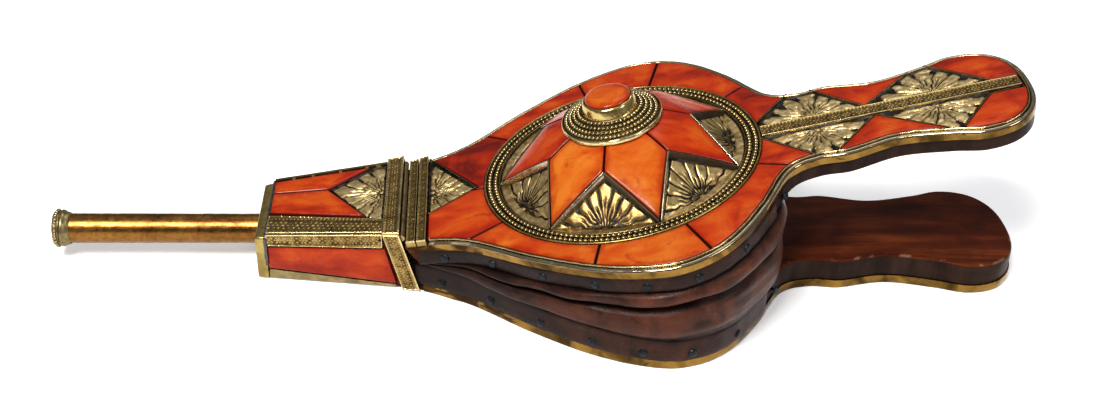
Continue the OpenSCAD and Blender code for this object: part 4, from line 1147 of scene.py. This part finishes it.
def build_panels():
    inner, hole = outline(INLAY_U, WIRE_IN + SEAM), disc(RING_R, 240)
    fern = [(-10, 20, 3.4), (15, 15.5, 3.3), (40, 14.7, 3.3), (64, 16.8, 3.1), (84, 22, 2.4), (-38, 15, 3.3),
            (-62, 14, 3.0), (-84, 16, 2.4)]
    made = chased([[(INLAY_U, -13), (35.7, 2), (INLAY_U, 36)], inner], (),
                  lambda x, y: fan(x, y, (14, 6), 0.0, fern), flat(WOOD_W + 0.35), flat(WOOD_W), on_upper)
    add_sheets("front_panel_brass", [made], RELIEF, "upper_half", "front_panel")

    first = [(180, -6), (201, -28.5), (201, -40), (210, -40), (210, -30.4), (233.3, -4.8),
             (230.5, 5.2), (208, 30.4), (208, 40), (197, 40), (197, 30.6), (180, 10)]
    second = [(234.6, -4.8), (263.6, -27.8), (263.6, -40), (270.5, -40), (270.5, -30), (288.7, -6.5),
              (292.4, 5.5), (266, 31.4), (266, 40), (258, 40), (258, 28.6), (231.8, 5.2)]
    spread = [(0, 22, 3.6), (28, 18.5, 3.6), (-28, 18.5, 3.6), (54, 17.5, 3.5), (-54, 17.5, 3.5), (80, 20.5, 3.0),
              (-80, 20.5, 3.0)]
    middle_strip = [(170, -4.4), (320, -4.4), (320, 4.4), (170, 4.4)]
    made = [chased([shape, inner, [(170, 0), (320, 0), (320, side * 60), (170, side * 60)]], [hole, middle_strip],
                   lambda x, y: fan(x, y, (middle, side * 6.2), side * math.pi / 2, spread),
                   flat(WOOD_W + 0.35), flat(WOOD_W), on_upper)
            for shape, middle in ((first, 205.5), (second, 264.0)) for side in (-1, 1)]
    add_sheets("handle_sheet_brass", made, RELIEF, "upper_half", "handle_sheet")

    bar = [(178.9, -4.4), (305, -4.4), (305, 4.4), (178.9, 4.4)]
    add_strips("handle_strip_embossed", [strip(bar, ((178.9, 0), (305, 0)), 4.4, 7.0, WOOD_W, FACE_W + 0.45,
                                               keep=[inner], drop=[hole])], "upper_half", "handle_strip", on_upper)
    for name, (u0, u1) in BANDS.items():
        w0, w1, mid = float(half_width(u0)), float(half_width(u1)), (u0 + u1) / 2
        made = strip([(u0, -w0), (u1, -w1), (u1, w1), (u0, w0)], ((mid, -w0), (mid, w0)), (u1 - u0) / 2, 4.7,
                     WOOD_W, FACE_W + 1.4, spacing=0.36)
        add_strips(f"{name}_embossed", [made], "upper_half", name, on_upper)

    lines = []
    for name, (_, a, b, c, _) in WEDGES.items():
        side = 1 if "near" in name else -1
        lines += [(a, b, side), (b, (min(c[0], 304.0), c[1]), side)]
    lines += [(TAILS["near"][2], TAILS["near"][1], 1), (TAILS["far"][2], TAILS["far"][1], -1),
              ((12.2, -13.8), (36.6, 2), 1), ((12.2, 38.0), (36.6, 2), -1)]
    walls = [wall(between(a, b), 0.5, WOOD_W, FACE_W - 0.1, side) for a, b, side in lines]
    add_piece("panel_edging", joined(walls), AGED_BRASS, "upper_half", "", on_upper, sharp=50)


# ---------------------------------------------------------------- star
def star_height(x):
    """The face of a star point along its length: it bends down towards the tip."""
    return np.where(x < 33.4, hermite(x, 19.9, 33.4, TOP_CROWN, TOP_NOTCH, -0.42, -0.56),
                    hermite(x, 33.4, TIP_R, TOP_NOTCH, TOP_TIP, -0.56, -0.72))


def star_floor(x):
    """The underside of a star point."""
    return np.interp(x, [19.0, 33.4, TIP_R], [CROWN_W, NOTCH_W, WOOD_W])


KITE_TINTS = (0.32, 0.40, 0.98, 0.80, 0.44, 0.40, 0.32)


def build_star_points():
    half = STEP / 2 - math.radians(0.4)
    crown, notch = [(r * math.cos(half), r * math.sin(half)) for r in (CROWN_R, NOTCH_R)]
    tip = (TIP_R - 0.3, 0.02)
    corners = [crown, notch, tip]
    kite = [*((x, -y) for x, y in corners), *corners[::-1]]
    edging = []
    for k in range(POINTS):
        place = turned_place(math.pi + (k - 1) * STEP)
        bone_plate(f"star_point_{k + 1}", [np.array(kite)],
                   lambda x, y, d: star_height(x) - 0.35 + dome(x, y, d, 0.9, 100 + k),
                   lambda x, y: star_floor(x), "upper_half", f"star_bone_{k + 1}", place, KITE_TINTS[k],
                   radius=1.2, spacing=1.7)
        # Painted shade: one edging wall of each point gets a low value, which the material paints dark; the other
        # keeps its pale metal.
        for side, light in ((-1, 0.08), (1, 0.85)):
            line = between((notch[0], side * notch[1]), (TIP_R + 0.4, side * 0.1), 30)
            low = star_floor(line[:, 0])
            points, faces = wall(line, 0.8, low, np.maximum(star_height(line[:, 0]) - 0.55, low + 1.4), side)
            edging.append((place(points), faces, np.full(len(points), light)))
    points, faces, light = joined(edging)
    add_piece("star_edging", (points, faces), SOLDER_BRASS, "upper_half", sharp=50, relief=light)


def build_star_sheets():
    slope = (NOTCH_W - WOOD_W) / (TIP_R * math.cos(STEP / 2) - NOTCH_R)
    leaves = [(0, 16, 3.4), (27, 14.3, 3.3), (-27, 14.3, 3.3), (50, 15, 3.2), (-50, 15, 3.2), (71, 18.5, 3.0),
              (-71, 18.5, 3.0), (88, 23, 2.2), (-88, 23, 2.2)]

    def slanting(rise, least):
        return lambda x, y: np.maximum(NOTCH_W + rise - (x - NOTCH_R) * slope, WOOD_W + least)

    def relief(x, y):
        r = np.hypot(x, y)
        arc = 0.85 * smooth((r - 56.2) * 3) * smooth((60.6 - r) * 3)
        return np.maximum(fan(x, y, (55.6, 0), math.pi, leaves, 1.25) * smooth((56.6 - r) * 3), arc)

    a = np.linspace(-STEP / 2, STEP / 2, 40)
    arc = np.stack([61.75 * np.cos(a), 61.75 * np.sin(a)], 1)
    tip = (TIP_R + 0.6) * np.array([math.cos(STEP / 2), math.sin(STEP / 2)])
    cell = np.concatenate([[(NOTCH_R + 0.7, 0), tip * MIRROR], arc, [tip]])
    made = [chased([cell], (), relief, slanting(0.35, 0.4), slanting(0, 0),
                   turned_place(math.pi + (k + 0.5) * STEP), wall_rise=1.0, bent=True) for k in range(POINTS)]
    # Painted shade: one sheet's leaves are painted much darker, the others a little.
    painted_shade = np.concatenate([np.full(len(part[0]), 0.8 if k == 1 else 0.1) for k, part in enumerate(made)])
    add_sheets("star_sheets_brass", made, STAR_RELIEF, "upper_half", "star_sheets", tint=painted_shade)


def build_ring():
    parts = [beads(r, WOOD_W + 1.6, size=1.32, pitch=2.55) for r in (66.3, 63.2)]
    for r, high in ((61.5, -1.7), (64.75, -2.6)):
        section = [(r - 0.3, WOOD_W), (r + 0.3, WOOD_W), (r + 0.3, high - 0.2), (r, high), (r - 0.3, high - 0.2)]
        points, faces = lathe(section, 260, rough=0.05, seed=90)
        parts.append((points, faces, np.ones(len(points))))
    points, faces, full = joined(parts)
    add_piece("ring_beaded_wires", (points, faces), DARK_BEADS, "upper_half", "ring_ropes", on_upper, sharp=80,
              relief=full)
    wire = [(67.98, WOOD_W), (RING_R, WOOD_W), (69.02, -2.1), (68.9, -1.65), (68.5, -1.42), (68.1, -1.65),
            (67.98, -2.1)]
    add_piece("ring_outer_wire", lathe(wire, 300, rough=0.09, seed=91), BRASS, "upper_half", "ring_wire",
              on_upper, sharp=60)


def build_boss():
    # Each ring: radius, height and a value for the material: low ones are painted dark, painted shade on the dish
    # under the beads and at the foot of the collar; the collar, at 1, is left clear.
    cone = [(22.1, 0.1, 0), (23.4, 0.1, 0), (23.4, 0.6, 0), (20.7, 2.1, 0.1), (17.9, 3.7, 0.15),
            (14.6, 5.4, 0.15), (13.9, 5.5, 0.05), (13.5, 5.7, 0.3), (13.25, 6.6, 0.9), (12.8, 9.2, 1),
            (12.3, 10.4, 1), (12.0, 11.0, 1), (11.5, 11.1, 0.8), (11.3, 10.7, 0.3), (11.3, 8.8, 0.3),
            (12.2, 8.8, 0.3), (12.2, 5.0, 0.3), (14.0, 4.4, 0.3), (22.0, 0.4, 0.3)]
    made = lathe([(r, BOSS_LOW + h) for r, h, _ in cone], 200, rough=0.16, seed=92)
    add_piece("boss_cone_brass", made, BOSS_BRASS, "upper_half", "boss_cone", on_upper, sharp=55,
              relief=np.tile([light for _, _, light in cone], 200))
    bezel = [(23.75, -0.7), (24.75, -0.7), (24.7, 0.6), (24.45, 1.25), (24.1, 1.3), (23.85, 0.9)]
    add_piece("boss_bezel", lathe([(r, BOSS_LOW + h) for r, h in bezel], 220, rough=0.14, seed=93), BRIGHT_BRASS,
              "upper_half", "boss_rim", on_upper, sharp=60)
    points, faces, full = joined([beads(r, BOSS_LOW + 0.6 + (23.4 - r) * 0.56 + 0.5, size=1.0, pitch=2.1)
                                  for r in (22.0, 19.8, 17.6, 15.4)])
    add_piece("boss_beaded_wires", (points, faces), BEAD_BRASS, "upper_half", "boss_beads", on_upper, sharp=80,
              relief=full)
    r = np.array([11.25, 11.3, 11.15, 10.7, 10.0, 8.6, 6.5, 4.0, 1.5])
    h = np.array([0.0, 0.9, 1.7, 2.45, 2.9, 3.3, 3.55, 3.7, 3.78])
    add_piece("cabochon_bone", lathe([*zip(r, BOSS_TOP + h)], 120, rough=0.07, seed=94, closed=False), BONE,
              "upper_half", "cabochon", on_upper, sharp=55, edge=np.tile(11.5 - r, 120), tint=0.62)


def finish_cad_nodes():
    """Materials of the nodes that stay as the CAD made them."""
    for name, look in (("nose_block", PLAIN_WOOD), ("star_core", PLAIN_WOOD), ("hinge_wire", ROPE_BRASS),
                       ("lower_tacks", IRON), ("upper_tacks", IRON)):
        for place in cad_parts[name].material_slots:
            place.material = look


# ---------------------------------------------------------------- floor, light and camera
def build_stage():
    mesh = bpy.data.meshes.new("floor")
    mesh.from_pydata([(-4, -4, 0), (4, -4, 0), (4, 4, 0), (-4, 4, 0)], [], [(0, 1, 2, 3)])
    floor = link_object("floor", mesh)
    floor.location.z = -0.0004
    look = Look("floor", Roughness=0.9, Specular_IOR_Level=0.1, Emission_Color=(1, 1, 1, 1), Emission_Strength=0.22)
    look.colour = look.mix(look.noise(3, 2), (0.93, 0.93, 0.93), (0.96, 0.96, 0.96))
    mesh.materials.append(look.finish())
    world = bpy.data.worlds.new("studio")
    bpy.context.scene.world = world
    world.use_nodes = True
    tree = world.node_tree
    direction = tree.nodes.new("ShaderNodeTexCoord").outputs["Generated"]
    height = add(tree, "SeparateXYZ", {0: direction}).outputs["Z"]
    share = add(tree, "MapRange", {"Value": height, "From Min": -0.2, "From Max": 1.0}).outputs["Result"]
    ramp = add(tree, "ValToRGB", {"Fac": share})
    ramp.color_ramp.elements[0].color = (0.16, 0.16, 0.17, 1)
    ramp.color_ramp.elements[1].color = (0.80, 0.81, 0.84, 1)
    tree.links.new(ramp.outputs["Color"], tree.nodes["Background"].inputs["Color"])
    tree.nodes["Background"].inputs["Strength"].default_value = 0.5
    for name, spot, size, power, colour in (
            ("key", (-0.45, -0.75, 1.5), 0.6, 27, (1, 0.98, 0.95)),
            ("fill", (1.3, -0.8, 1.0), 0.5, 6, (0.95, 0.97, 1)),
            ("back", (0.2, 0.9, 1.6), 0.8, 4, (1, 1, 1))):
        light = bpy.data.lights.new(name, "AREA")
        light.energy, light.size, light.color = power, size, colour
        lamp = link_object(name, light)
        lamp.location = spot
        lamp.rotation_euler = (Vector((0.07, 0, 0.04)) - Vector(spot)).to_track_quat("-Z", "Y").to_euler()


def build_camera():
    """The camera that took the photograph."""
    yaw, pitch, roll = math.radians(3.70), math.radians(33.34), math.radians(2.14)
    forward = Vector((math.sin(yaw) * math.cos(pitch), math.cos(yaw) * math.cos(pitch), -math.sin(pitch)))
    right = Vector((math.cos(yaw), -math.sin(yaw), 0))
    up = right.cross(forward)
    right, up = right * math.cos(roll) + up * math.sin(roll), up * math.cos(roll) - right * math.sin(roll)
    data = bpy.data.cameras.new("camera")
    data.lens, data.sensor_width, data.clip_start = 51.05, 36.0, 0.01
    camera = link_object("camera", data)
    turn = Matrix((right, up, -forward)).transposed().to_4x4()
    camera.matrix_world = Matrix.Translation((0.0307, -0.6511, 0.4552)) @ turn
    bpy.context.scene.camera = camera


for build in (build_boards, build_trim, build_hems, build_gusset, build_hinge_strap, build_valve, build_nose,
              build_front_plate, build_nozzle, build_plates, build_panels, build_star_points, build_star_sheets,
              build_ring, build_boss, finish_cad_nodes, build_stage, build_camera):
    build()
bpy.context.scene.view_settings.view_transform = "Standard"
bpy.context.scene.view_settings.look = "Medium High Contrast"
bpy.context.view_layer.update()
